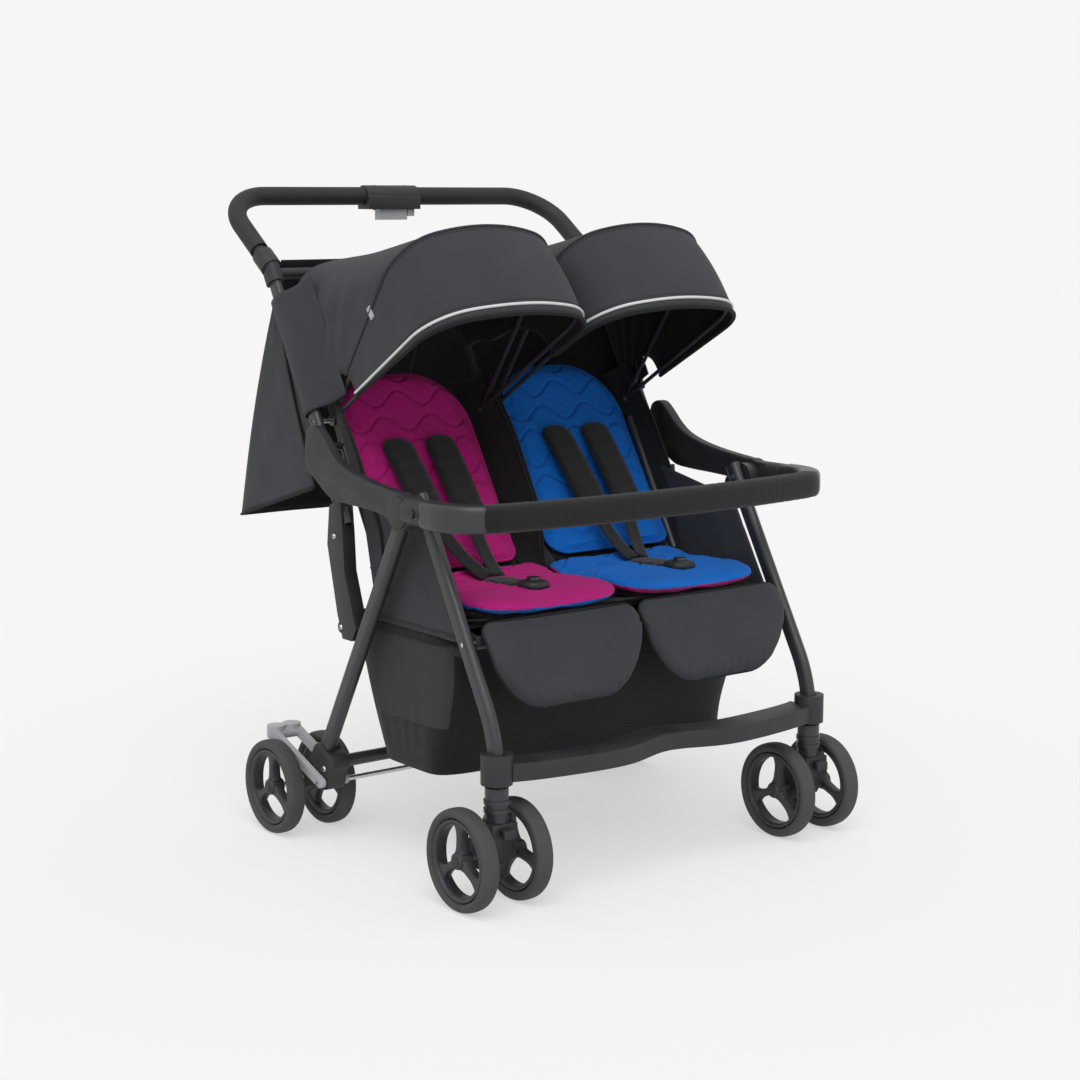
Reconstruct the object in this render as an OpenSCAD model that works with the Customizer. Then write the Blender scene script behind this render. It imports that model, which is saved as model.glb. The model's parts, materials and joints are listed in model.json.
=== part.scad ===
// Side by side double stroller with a parallelogram fold.
// Side view points are [y, z] pairs: y runs back from the front wheel contact line, z up from the floor.
// The front of the stroller faces -Y and its left side, seen from the front, is at -X.

/* [Wheels] */
// Diameter of each wheel
wheel_d = 150; // [140:1:156]
// Width of each tyre
tyre_w = 28; // [24:1:32]
// Radial thickness of the tyre
tyre_t = 15; // [12:0.5:18]
// Distance between the two wheels of a pair
pair_pitch = 94; // [90:1:100]
// Distance from front to rear wheel contact
wheelbase = 497; // [480:1:520]
// Axle diameter
axle_d = 8; // [6:0.5:10]
// Trail of a caster, from its swivel axis to its axle
caster_trail = 18; // [14:1:22]

/* [Frame] */
// Room from the side of a seat to the middle of a front leg
side_room = 35; // [34:0.5:40]
// Depth of the front leg tube, front to back
leg_depth = 26; // [22:1:30]
// Width of the front and rear leg tubes
leg_w = 18; // [16:1:18]
// Depth of the rear leg tube, front to back
rear_leg_depth = 28; // [24:1:30]
// Width of the handle side tubes
handle_w = 15; // [12:1:16]
// Depth of the handle side tubes, front to back
handle_depth = 24; // [20:1:28]
// Wall of the leg and handle tubes
tube_wall = 2; // [1.2:0.2:3]
// Diameter of the linkage pins
pin_d = 8; // [6:0.5:9]
// Height of the armrest pivot on the front leg
arm_pivot_z = 552; // [545:1:560]
// Lean of the front legs and handle tubes from upright
lean = 29.6; // [28:0.2:31]
// Length of an armrest from its front to its rear pivot
arm_len = 238; // [230:1:245]
// Rise of the armrest towards the back
arm_rise = 11.6; // [10:0.2:13]
// Distance of the seat pivot below the armrest pivot, along the front leg
seat_drop = 209; // [200:1:215]

/* [Handle] */
// Height of the grip axis
grip_z = 1000; // [980:1:1010]
// Slope of the upper handle bow above the horizontal
bow_slope = 35.5; // [32:0.5:40]
// Diameter of the upper handle tube
bow_d = 22; // [20:1:24]
// Diameter of the rubber grip
grip_d = 30; // [28:1:34]
// Bend radius of the upper handle
bow_r = 80; // [60:1:90]
// Length of the upper handle from its collars to the grip
bow_len = 186; // [170:1:200]
// Width of the fold housing on the grip
fold_w = 104; // [90:1:120]

/* [Bumper bar] */
// Diameter of the bumper tube
bumper_d = 22; // [18:1:24]
// Diameter of the padded bumper cover
cover_d = 42; // [38:1:44]
// Bend radius at the bumper corners
bumper_r = 70; // [60:1:80]
// Radius of the bow along the bumper front
bumper_bow_r = 2000; // [1600:50:3000]
// Height of the bumper bar
bumper_z = 557; // [554:1:560]

/* [Seats] */
// Width of one seat
seat_w = 252; // [240:1:256]
// Half of the gap between the two seats
seat_gap = 17; // [16:0.5:20]
// Thickness of a quilted liner
liner_t = 13; // [10:0.5:14]
// Length of the seat half of a liner
seat_liner_len = 220; // [200:1:221]
// Length of the back half of a liner
back_liner_len = 296; // [280:1:300]
// Length of a calf rest
calf_len = 132; // [120:1:136]
// Thickness of a calf rest
calf_t = 22; // [18:1:24]

/* [Canopies] */
// Distance of a canopy's pivot above the rear armrest pivot, along the handle
canopy_up = 69; // [60:1:80]
// Clearance of a canopy bow from the front leg and from the middle post
canopy_clear = 0.5; // [0.3:0.1:2]
// Thickness of the canopy cloth
cloth_t = 3; // [2:0.5:5]
// Diameter of a canopy bow
bow_wire_d = 7; // [5:0.5:8]

/* [Fits] */
// Clearance between parts that move past each other
gap = 0.3; // [0.3:0.05:0.6]
// Radial running clearance of a pin in its bore
run = 0.05; // [0.02:0.01:0.1]

/* [Hidden] */
$fn = 48;

frame_colour = "#232427";
plastic_colour = "#1b1c1e";
cloth_colour = "#3b3c40";
left_liner_colour = "#8e1c66";
right_liner_colour = "#0f5fb8";

// Linkage points: arm pivot B, rear arm pivot A, seat pivot D and crease C close a parallelogram.
up_dir = [sin(lean), cos(lean)];
back_dir = [cos(lean), -sin(lean)];
caster_y = -caster_trail;
leg_bend_r = 200;
bend_foot = [caster_y, 190];
bend_top = bend_foot + leg_bend_r * [1 - cos(lean), sin(lean)];
B = [bend_top[0] + (arm_pivot_z - bend_top[1]) * tan(lean), arm_pivot_z];
A = B + arm_len * [cos(arm_rise), sin(arm_rise)];
D = B - seat_drop * up_dir;
C = A + D - B;

// Planes across the width: seats, front leg, rear leg and handle, armrest.
seat_x = seat_w / 2 + seat_gap;
leg_x = seat_x + seat_w / 2 + side_room;
stack_gap = 0.5;
rear_leg_x = leg_x + leg_w + stack_gap;
handle_x = rear_leg_x - 1.5;
arm_w = 18;
arm_x = rear_leg_x + leg_w / 2 + stack_gap + arm_w / 2 + 0.5;
rear_x = rear_leg_x - 4;
caster_x = leg_x;
seat_tube_d = 16;
seat_tube_in = 21;
seat_tube_x = leg_x - seat_tube_in;

// Middle of the length, so that the origin lies under the middle of the part.
wheel_r = wheel_d / 2;
collar = C + handle_reach() * up_dir;
grip_at = collar + bow_len * [cos(bow_slope), sin(bow_slope)];
fold_h = 36;
y_mid = (grip_at[0] + fold_h / 2 - wheel_r) / 2;

function handle_reach() = (grip_z - bow_len * sin(bow_slope) - C[1]) / cos(lean);
function mix(a, b, t) = a + (b - a) * t;

module on_floor_middle() { translate([0, -y_mid, 0]) children(); }
module both_sides() {
  children();
  mirror([1, 0, 0]) children();
}

// Puts a child made in the side plane, x = side y, y = side z, into place, centred on a plane across.
module side_plate(x, w) {
  translate([x - w / 2, 0, 0]) rotate([90, 0, 90]) linear_extrude(w) children();
}
module oval(wx, wy) {
  if (wy > wx) {
    square([wx, wy - wx], center = true);
    for (s = [-1, 1]) translate([0, s * (wy - wx) / 2]) circle(d = wx);
  } else {
    square([wx - wy, wy], center = true);
    for (s = [-1, 1]) translate([s * (wx - wy) / 2, 0]) circle(d = wy);
  }
}
module oval_ring(wx, wy, wall) {
  difference() {
    oval(wx, wy);
    oval(wx - 2 * wall, wy - 2 * wall);
  }
}
// Extrudes a child profile from point p to point q of the side plane, at a distance x from the middle.
module bar(x, p, q) {
  d = q - p;
  translate([x, p[0], p[1]]) rotate([atan2(-d[0], d[1]), 0, 0]) linear_extrude(norm(d)) children();
}
module pin_x(x0, x1, p, d) {
  translate([x0, p[0], p[1]]) rotate([0, 90, 0]) cylinder(d = d, h = x1 - x0);
}
module capsule(p, q, d) {
  n = (q - p) / norm(q - p);
  m = [-n[1], n[0]] * d / 2;
  polygon([p + m, q + m, q - m, p - m]);
  translate(p) circle(d = d);
  translate(q) circle(d = d);
}

// Front legs
foot_z = 128;
socket_top = 178;
socket_d = 34;
stem_d = 12;
stem_bore_h = 40;
leg_top = B + 22 * up_dir;

module leg_bend(wx, wy) translate([leg_x, bend_foot[0] + leg_bend_r, bend_foot[1]]) rotate([90, 0, -90])
  rotate_extrude(angle = lean, $fn = 180) translate([leg_bend_r, 0]) rotate(90) oval(wx, wy);
module leg_hollow(p, q) bar(leg_x, p, q) oval(leg_w - 2 * tube_wall, leg_depth - 2 * tube_wall);
pivot_plug = 14;
seam = 0.05;
// A leg is a straight tube on a moulded stem that turns upright and ends in the caster socket.
module leg_tube() difference() {
  bar(leg_x, bend_top + seam * up_dir, leg_top) oval(leg_w, leg_depth);
  leg_hollow(bend_top - seam * up_dir, D - pivot_plug * up_dir);
  leg_hollow(D + pivot_plug * up_dir, B - pivot_plug * up_dir);
  pin_x(leg_x - leg_w, leg_x + leg_w, B, pin_d);
  pin_x(leg_x - leg_w, leg_x + leg_w, D, pin_d);
}
module leg_stem() difference() {
  union() {
    leg_bend(leg_w, leg_depth);
    translate([leg_x, caster_y, socket_top - 10])
      linear_extrude(bend_foot[1] - socket_top + 10) oval(leg_w, leg_depth);
    translate([leg_x, caster_y, foot_z]) cylinder(d = socket_d, h = socket_top - foot_z);
    for (z = [foot_z + 14, foot_z + 26]) translate([leg_x, caster_y, z]) cylinder(d = socket_d + 4, h = 6);
  }
  translate([leg_x, caster_y, foot_z - 1]) cylinder(d = stem_d + 2 * run, h = stem_bore_h + 1);
}
module front_leg() {
  leg_tube();
  leg_stem();
}
module front_legs() color(frame_colour) on_floor_middle() both_sides() front_leg();

module leg_pins() color("silver") on_floor_middle() both_sides() {
  pin_x(leg_x - leg_w / 2 - 2, arm_x + arm_w / 2 - 2, B, pin_d);
  pin_x(seat_tube_x + seat_tube_d / 2 - 14, leg_x + leg_w / 2 - 1, D, pin_d);
}

// Footrest: two forward lobes, a notch in the middle, a lip all round and a sleeve on each leg
rest_z = 186;
rest_h = 26;
rest_wall = 4;
rest_steps = 40;
rest_half = leg_x - socket_d / 2 + 2;
function rest_front(x) = caster_y - 6 - 46 * pow(cos(90 * abs(x) / leg_x), 0.5) + 34 * exp(-pow(x / 70, 2));
function rest_back(x) = rest_front(x) + 44 + 8 * cos(90 * x / leg_x);
function rest_outline(inset) = let (half = rest_half - inset) concat(
  [for (i = [0:rest_steps]) let (x = -half + 2 * half * i / rest_steps) [x, rest_front(x) + inset]],
  [for (i = [0:rest_steps]) let (x = half - 2 * half * i / rest_steps) [x, rest_back(x) - inset]]);
sleeve_d = 46;
module footrest() color(plastic_colour) on_floor_middle() difference() {
  union() {
    translate([0, 0, rest_z]) linear_extrude(rest_h) polygon(rest_outline(0));
    for (s = [-1, 1]) translate([s * leg_x, caster_y, rest_z - 4]) cylinder(d = sleeve_d, h = rest_h + 18);
  }
  translate([0, 0, rest_z - 1]) linear_extrude(rest_h - rest_wall + 1) intersection() {
    polygon(rest_outline(rest_wall));
    square([2 * (rest_half - sleeve_d / 2), 400], center = true);
  }
  both_sides() {
    translate([leg_x, caster_y, rest_z - 10]) linear_extrude(rest_h + 60)
      oval(leg_w + 2 * gap, leg_depth + 2 * gap);
    leg_bend(leg_w + 2 * gap, leg_depth + 2 * gap);
  }
}
// Casters
fork_top = foot_z - gap;
fork_w = 44;
module fork(s) {
  x = s * caster_x;
  difference() {
    union() {
      side_plate(x, fork_w) {
        polygon([[caster_y - 20, fork_top], [caster_y + 20, fork_top], [22, 96], [18, wheel_r - 12],
          [-18, wheel_r - 12], [caster_y - 22, 100]]);
        translate([0, wheel_r]) circle(r = 18);
      }
      translate([x, caster_y, fork_top - 8]) cylinder(d = fork_w - 4, h = 8);
      translate([x, caster_y, fork_top - 2]) cylinder(d = stem_d, h = stem_bore_h - 2);
    }
    pin_x(x - fork_w, x + fork_w, [0, wheel_r], axle_d);
    translate([x - 8 - gap, caster_y - 40, fork_top - 16 - gap]) cube([16 + 2 * gap, 32, 10 + 2 * gap]);
  }
}
module fork_left() color(plastic_colour) on_floor_middle() fork(-1);
module fork_right() color(plastic_colour) on_floor_middle() fork(1);
pair_reach = pair_pitch / 2 + tyre_w / 2;
module front_axle(s) pin_x(s * caster_x - pair_reach, s * caster_x + pair_reach, [0, wheel_r], axle_d);
module front_axle_left() color("silver") on_floor_middle() front_axle(-1);
module front_axle_right() color("silver") on_floor_middle() front_axle(1);
// Swivel lock: a tab that slides into the front of the fork
module swivel_lock(s) translate([s * caster_x, caster_y, fork_top - 16]) {
  translate([-8, -30, 0]) cube([16, 21, 10]);
  translate([-11, -34, -3]) cube([22, 6, 13]);
}
module swivel_lock_left() color(plastic_colour) on_floor_middle() swivel_lock(-1);
module swivel_lock_right() color(plastic_colour) on_floor_middle() swivel_lock(1);

// Wheels: a three spoked hub and a rounded tyre
hub_r = wheel_r - tyre_t;
rim_t = 7;
hub_w = 22;
boss_d = 26;
spoke_w = 15;
module tyre() rotate([0, 90, 0]) rotate_extrude($fn = 96) translate([wheel_r - tyre_t / 2, 0])
  oval(tyre_t, tyre_w);
module hub() rotate([0, 90, 0]) difference() {
  union() {
    difference() {
      cylinder(r = hub_r - 0.1, h = hub_w, center = true);
      cylinder(r = hub_r - rim_t, h = hub_w + 2, center = true);
    }
    cylinder(d = boss_d, h = hub_w + 4, center = true);
    for (a = [90, 210, 330]) rotate(a) translate([0, -spoke_w / 2, -hub_w / 2 + 3])
      cube([hub_r - rim_t + 2, spoke_w, hub_w - 6]);
    for (a = [90, 210, 330]) rotate(a) translate([hub_r - rim_t - 5, -spoke_w, -hub_w / 2 + 3])
      cube([6, 2 * spoke_w, hub_w - 6]);
  }
  cylinder(d = axle_d + 2 * run, h = hub_w + 10, center = true);
}
module wheel(x, y) translate([x, y, wheel_r]) {
  color("#2b2c2f") hub();
  color("#3a3a3c") tyre();
}
half_pitch = pair_pitch / 2;
module front_wheel_1() on_floor_middle() wheel(-caster_x - half_pitch, 0);
module front_wheel_2() on_floor_middle() wheel(-caster_x + half_pitch, 0);
module front_wheel_3() on_floor_middle() wheel(caster_x - half_pitch, 0);
module front_wheel_4() on_floor_middle() wheel(caster_x + half_pitch, 0);
module rear_wheel_1() on_floor_middle() wheel(-rear_x - half_pitch, wheelbase);
module rear_wheel_2() on_floor_middle() wheel(-rear_x + half_pitch, wheelbase);
module rear_wheel_3() on_floor_middle() wheel(rear_x - half_pitch, wheelbase);
module rear_wheel_4() on_floor_middle() wheel(rear_x + half_pitch, wheelbase);

// Rear frame
axle_at = [wheelbase, wheel_r];
rear_offset = 15;
rear_aim = axle_at + [-67.9, 32];
rear_aim_lean = atan2(rear_aim[0] - B[0], B[1] - rear_aim[1]) - asin(rear_offset / norm(rear_aim - B));
rear_lean = round(100 * rear_aim_lean) / 100;
rear_dir = [sin(rear_lean), -cos(rear_lean)];
rear_normal = [cos(rear_lean), sin(rear_lean)];
rear_top = B + rear_offset * rear_normal;
rear_foot = rear_top + (rear_top[1] - rear_aim[1]) / cos(rear_lean) * rear_dir;
rear_eye_d = 44;
cross_d = 20;
cross_at = axle_at + [-111, 55];
module rear_leg() difference() {
  union() {
    bar(rear_leg_x, rear_foot, rear_top) oval_ring(leg_w, rear_leg_depth, tube_wall);
    bar(rear_leg_x, rear_foot, rear_foot - 30 * rear_dir) oval(leg_w, rear_leg_depth);
    side_plate(rear_leg_x, leg_w) {
      translate(B) circle(d = rear_eye_d);
      capsule(B, rear_top + 24 * rear_dir, rear_leg_depth);
    }
  }
  pin_x(rear_leg_x - leg_w, rear_leg_x + leg_w, B, pin_d + 2 * run);
}
module rear_legs() color(frame_colour) on_floor_middle() both_sides() rear_leg();

rear_house_w = 30;
rod_at = axle_at + [-99, 22];
rod_d = 8;
module rear_housing() {
  x = rear_x;
  difference() {
    side_plate(x, rear_house_w) {
      capsule(rear_foot - 34 * rear_dir, rear_foot + 4 * rear_dir, rear_leg_depth + 12);
      capsule(rear_foot, axle_at, 34);
      capsule(cross_at, rear_foot - 34 * rear_dir, 30);
      capsule(cross_at, rod_at, 24);
      capsule(rod_at, rear_foot, 22);
    }
    bar(rear_leg_x, rear_foot, rear_foot - 80 * rear_dir) oval(leg_w + 0.1, rear_leg_depth + 0.1);
    pin_x(x - rear_house_w, x + rear_house_w, axle_at, axle_d);
    pin_x(x - rear_house_w, x + rear_house_w, rod_at, rod_d + 2 * run);
    pin_x(x - rear_house_w, x - rear_house_w / 2 + 12, cross_at, cross_d + 0.1);
  }
}
module rear_housings() color(plastic_colour) on_floor_middle() both_sides() rear_housing();
module rear_cross_tube() color(frame_colour) on_floor_middle() difference() {
  pin_x(-rear_x + rear_house_w / 2 - 12, rear_x - rear_house_w / 2 + 12, cross_at, cross_d);
  pin_x(-rear_x, rear_x, cross_at, cross_d - 2 * tube_wall);
}
module rear_axles() color("silver") on_floor_middle() both_sides()
  pin_x(rear_x - pair_reach, rear_x + pair_reach, axle_at, axle_d);
module brake_rod() color("silver") on_floor_middle()
  pin_x(-rear_x - 30, rear_x + rear_house_w / 2 + 6, rod_at, rod_d);

// Brake pedal: two arms beside the left housing and two lobes behind it
pedal_tip = axle_at + [47, 75];
pedal_arm_w = 9;
pedal_lobe_x = 14;
pedal_lobe_d = 30;
pedal_lobe_h = 20;
pedal_out = rear_house_w / 2 + gap + 1.5;
module brake_pedal() color("#b9babd") on_floor_middle() difference() {
  union() {
    for (s = [-1, 1]) side_plate(-rear_x + s * (pedal_out + pedal_arm_w / 2), pedal_arm_w)
      capsule(rod_at, pedal_tip, 15);
    side_plate(-rear_x, 2 * (pedal_out + pedal_arm_w)) capsule(pedal_tip - [8, 4], pedal_tip, 15);
    for (s = [-1, 1])
      translate([-rear_x + s * pedal_lobe_x, pedal_tip[0] + 2, pedal_tip[1] - pedal_lobe_h / 2])
        cylinder(d = pedal_lobe_d, h = pedal_lobe_h);
  }
  pin_x(-rear_x - 40, -rear_x + 40, rod_at, rod_d);
}

// Armrests: a boot shaped moulding from the rear pivot to a round disc and a forward bumper socket
arm_h = 33;
arm_disc_d = 56;
socket_h = 40;
socket_w = 34;
socket_front = 88;
socket_depth = 42;
socket_x = arm_x + 4;
module armrest() difference() {
  union() {
    side_plate(arm_x, arm_w) {
      capsule(A, B, arm_h);
      translate(B) circle(d = arm_disc_d);
      translate(A) circle(d = arm_h + 4);
    }
    translate([arm_x + arm_w / 2 - 1, B[0], B[1]]) rotate([0, 90, 0]) cylinder(d = arm_disc_d - 8, h = 4);
    translate([socket_x, socket_front, bumper_z]) rotate([-90, 0, 0])
      linear_extrude(B[0] - 24 - socket_front) oval(socket_w, socket_h);
    side_plate(arm_x, arm_w) polygon([[B[0], B[1] + 26], [B[0] - 34, bumper_z + socket_h / 2 - 2],
      [B[0] - 34, bumper_z - socket_h / 2 + 2], [B[0], B[1] - 26]]);
  }
  pin_x(arm_x - arm_w, arm_x + arm_w / 2 - 2 + gap, B, pin_d + 2 * run);
  pin_x(arm_x - arm_w, arm_x + arm_w / 2 - 2 + gap, A, pin_d + 2 * run);
  translate([socket_x, socket_front - 1, bumper_z]) rotate([-90, 0, 0])
    cylinder(d = bumper_d + 2 * gap, h = socket_depth + 1);
  button_room(socket_x);
}
button_at = socket_front + 16;
button_d = 14;
button_travel = 4;
module button_room(x) translate([x, button_at, bumper_z]) rotate([0, 90, 0])
  cylinder(d = button_d + 2 * run, h = 40);
module armrests() color(plastic_colour) on_floor_middle() both_sides() armrest();
// Pins of the rear armrest pivots, fixed in the handle tubes
module arm_pins() color("silver") on_floor_middle() {
  both_sides() pin_x(handle_x - handle_w / 2 - 2, arm_x + arm_w / 2 - 2, A, pin_d);
  canopy_pins();
}

module bumper_button(s) {
  x0 = bumper_d / 2 + gap + button_travel + 1.5;
  translate([s * socket_x, button_at, bumper_z]) rotate([0, s * 90, 0]) difference() {
    union() {
      translate([0, 0, x0]) cylinder(d = button_d, h = socket_w / 2 + 1.5 - x0);
      translate([0, 0, socket_w / 2 + 1.5]) cylinder(d = button_d, h = 2);
    }
    translate([0, 0, socket_w / 2 + 8]) sphere(d = 12);
  }
}
module bumper_button_left() color("#17181a") on_floor_middle() bumper_button(-1);
module bumper_button_right() color("#17181a") on_floor_middle() bumper_button(1);

// Bumper bar: straight ends in the sockets, corner bends and a gently bowed front
bow_half = asin((socket_x - bumper_r) / (bumper_bow_r - bumper_r));
corner_c = [socket_x - bumper_r, 62];
bow_c = [0, corner_c[1] + (bumper_bow_r - bumper_r) * cos(bow_half)];
bend_steps = 8;
bow_steps = 14;
bumper_end = socket_front + socket_depth - gap;
function bumper_corner(trim) = [for (i = [0:bend_steps]) let (a = mix(-trim, -90 + bow_half, i / bend_steps))
  corner_c + bumper_r * [cos(a), sin(a)]];
function bumper_front() = [for (i = [1:bow_steps - 1]) let (a = bow_half * (1 - 2 * i / bow_steps))
  bow_c + bumper_bow_r * [sin(a), -cos(a)]];
function mirrored(pts) = [for (i = [len(pts) - 1:-1:0]) [-pts[i][0], pts[i][1]]];
function bumper_line(ends, trim) = let (right = concat(ends, bumper_corner(trim)))
  concat(right, bumper_front(), mirrored(right));
module bumper_tube() color(frame_colour) on_floor_middle() translate([0, 0, bumper_z])
  tube_sweep(bumper_line([[socket_x, bumper_end], [socket_x, socket_front]], 0),
    bumper_d, bumper_d - 2 * tube_wall);
cover_trim = 20;
module bumper_cover() color(cloth_colour) on_floor_middle() translate([0, 0, bumper_z])
  tube_sweep(bumper_line([], cover_trim), cover_d, bumper_d + 2 * gap);

// Sweeps a ring along a flat line of points.
sweep_sides = 14;
function heading(pts, i) = let (d = pts[min(i + 1, len(pts) - 1)] - pts[max(i - 1, 0)]) d / norm(d);
function sweep_ring(pts, i, r, m) = let (t = heading(pts, i))
  [for (k = [0:m - 1]) let (a = 360 * k / m, q = pts[i] + r * cos(a) * [t[1], -t[0]])
    [q[0], q[1], r * sin(a)]];
module tube_sweep(pts, d, inner, m = sweep_sides) {
  n = len(pts);
  points = concat([for (i = [0:n - 1]) each sweep_ring(pts, i, d / 2, m)],
    [for (i = [0:n - 1]) each sweep_ring(pts, i, inner / 2, m)]);
  function at(layer, i, k) = (layer * n + i) * m + k % m;
  polyhedron(points, concat(
    [for (i = [0:n - 2]) for (k = [0:m - 1]) each [[at(0, i, k), at(0, i, k + 1), at(0, i + 1, k)],
      [at(0, i, k + 1), at(0, i + 1, k + 1), at(0, i + 1, k)]]],
    [for (i = [0:n - 2]) for (k = [0:m - 1]) each [[at(1, i, k), at(1, i + 1, k), at(1, i, k + 1)],
      [at(1, i, k + 1), at(1, i + 1, k), at(1, i + 1, k + 1)]]],
    [for (k = [0:m - 1]) each [[at(0, 0, k), at(1, 0, k), at(0, 0, k + 1)],
      [at(0, 0, k + 1), at(1, 0, k), at(1, 0, k + 1)]]],
    [for (k = [0:m - 1]) let (e = n - 1) each [[at(0, e, k), at(0, e, k + 1), at(1, e, k)],
      [at(0, e, k + 1), at(1, e, k + 1), at(1, e, k)]]]));
}

// Handle
tube_foot = A - 104 * up_dir;
module handle_side() difference() {
  union() {
    bar(handle_x, tube_foot, collar + 4 * up_dir) oval_ring(handle_w, handle_depth, tube_wall);
    bar(handle_x, A - 14 * up_dir, A + 14 * up_dir) oval(handle_w, handle_depth);
    bar(handle_x, canopy_pivot - 12 * up_dir, canopy_pivot + 12 * up_dir) oval(handle_w, handle_depth);
  }
  pin_x(handle_x - handle_w, handle_x + handle_w, A, pin_d);
  pin_x(handle_x - handle_w, handle_x + handle_w, canopy_pivot, pin_d);
}
canopy_pivot = A + canopy_up * up_dir;
// Children are made in the plane of the upper bow: x across, y along the slope from the collars.
module in_bow_plane() translate([0, collar[0], collar[1]]) rotate([bow_slope, 0, 0]) children();
module bow_sweep(d, inner, from, gap_half) {
  module ring() difference() {
    circle(d = d);
    circle(d = inner);
  }
  side = bow_len - bow_r;
  in_bow_plane() both_sides() {
    translate([handle_x, from, 0]) rotate([-90, 0, 0]) linear_extrude(side - from) ring();
    translate([handle_x - bow_r, side, 0]) rotate_extrude(angle = 90, $fn = 96) translate([bow_r, 0]) ring();
    translate([gap_half, bow_len, 0]) rotate([0, 90, 0]) linear_extrude(handle_x - bow_r - gap_half) ring();
  }
}
module handle_tube() color(frame_colour) on_floor_middle() {
  both_sides() handle_side();
  bow_sweep(bow_d, bow_d - 2 * tube_wall, 6, 0);
}
grip_from = 40;
module grip() color("#1a1a1b") on_floor_middle() bow_sweep(grip_d, bow_d + 0.1, grip_from, fold_w / 2 + gap);

// Collars at the bend, with the cross tube between them
collar_h = 34;
collar_d = 34;
module handle_cross() color(plastic_colour) on_floor_middle() {
  difference() {
    both_sides() {
      bar(handle_x, collar - 30 * up_dir, collar + 6 * up_dir) oval(handle_w + 10, handle_depth + 8);
      in_bow_plane() translate([handle_x, -6, 0]) rotate([-90, 0, 0]) cylinder(d = collar_d, h = collar_h);
    }
    both_sides() {
      bar(handle_x, collar - 60 * up_dir, collar + 4.1 * up_dir) oval(handle_w + 0.1, handle_depth + 0.1);
      in_bow_plane() translate([handle_x, 5.9, 0]) rotate([-90, 0, 0])
        cylinder(d = bow_d + 0.1, h = collar_h);
    }
  }
  pin_x(-handle_x + handle_w / 2 + 2.5, handle_x - handle_w / 2 - 2.5, collar - 14 * up_dir, 18);
}

// Fold housing round the middle of the grip, with a lever below and a safety button beside it
lever_w = 56;
lever_h = 20;
lever_t = 14;
lever_travel = 7;
lever_y = -14;
button_w = 13;
button_x = lever_w / 2 + button_w / 2 + 2;
module at_grip() translate([0, grip_at[0], grip_at[1]]) children();
module fold_housing() color(plastic_colour) on_floor_middle() at_grip() difference() {
  union() {
    rotate([0, 90, 0]) cylinder(d = fold_h, h = fold_w, center = true);
    translate([-fold_w / 2, -fold_h / 2 - 2, -fold_h / 2 - 4]) cube([fold_w, fold_h, fold_h / 2 + 4]);
  }
  rotate([0, 90, 0]) cylinder(d = bow_d + 0.1, h = fold_w + 2, center = true);
  translate([-lever_w / 2 - gap, lever_y - gap, -40])
    cube([lever_w + 2 * gap, lever_t + 2 * gap, 40 - bow_d / 2 - 1.5]);
  translate([button_x - button_w / 2 - gap, lever_y - gap, -40])
    cube([button_w + 2 * gap, 10 + 2 * gap, 40 - bow_d / 2 - 1.5]);
}
lever_top = -bow_d / 2 - 1.5 - gap - lever_travel;
module fold_lever() color("#b4b6ba") on_floor_middle() at_grip()
  translate([-lever_w / 2, lever_y, lever_top - lever_h]) cube([lever_w, lever_t, lever_h]);
module safety_button() color("#8d8f93") on_floor_middle() at_grip()
  translate([button_x - button_w / 2, lever_y, lever_top - 14]) cube([button_w, 10, 14]);

// Latch: a bent housing that hooks behind each rear leg, and a sleeve that slides on the handle tube
latch_w = 22;
latch_foot_z = A[1] - 265;
latch_hook = 20;
leg_back = rear_top + (rear_leg_depth / 2 + gap) * rear_normal;
function behind_leg(z) = leg_back[0] + (leg_back[1] - z) * tan(rear_lean);
latch_top = A - 64 * up_dir;
module latch_housing() difference() {
  side_plate(handle_x, latch_w) {
    polygon([latch_top - 18 * back_dir, latch_top + 18 * back_dir, A + [-9, -124], A + [-35, -228],
      [A[0] - 49, latch_foot_z], [behind_leg(latch_foot_z), latch_foot_z],
      [behind_leg(latch_foot_z + latch_hook), latch_foot_z + latch_hook], A + [-57, -160], A + [-53, -100]]);
    translate(A + [-45, -248]) circle(d = 18);
  }
  bar(handle_x, tube_foot - 0.1 * up_dir, A) oval(handle_w + 0.1, handle_depth + 0.1);
}
module latch_housings() color(plastic_colour) on_floor_middle() both_sides() latch_housing();
sleeve_len = 28;
sleeve_at = A - 62 * up_dir;
module latch_sleeves() color("#26272a") on_floor_middle() both_sides()
  bar(handle_x, sleeve_at, sleeve_at + sleeve_len * up_dir) difference() {
    oval(handle_w + 5, handle_depth + 7);
    oval(handle_w + 2 * gap, handle_depth + 2 * gap);
  }

// Back frame: inner uprights beside each seat, a post between the seats and a hinge rod at the crease
upright_d = 14;
upright_x = seat_tube_x + 3;
hinge_d = 8;
upright_top = 35;
bracket_d = 12;
bracket_at = [-18, 25];
module back_frame() color(frame_colour) on_floor_middle() difference() {
  union() {
    bar(0, C - 10 * up_dir, collar - 23.2 * up_dir) circle(d = upright_d);
    both_sides() {
      bar(upright_x, C - 10 * up_dir, A + upright_top * up_dir) circle(d = upright_d);
      for (at = bracket_at) pin_x(upright_x, handle_x - handle_w / 2 - 0.05, A + at * up_dir, bracket_d);
    }
    pin_x(-upright_x, upright_x, C, hinge_d);
  }
  pin_x(-upright_d, upright_d, canopy_pivot, pin_d);
}

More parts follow.
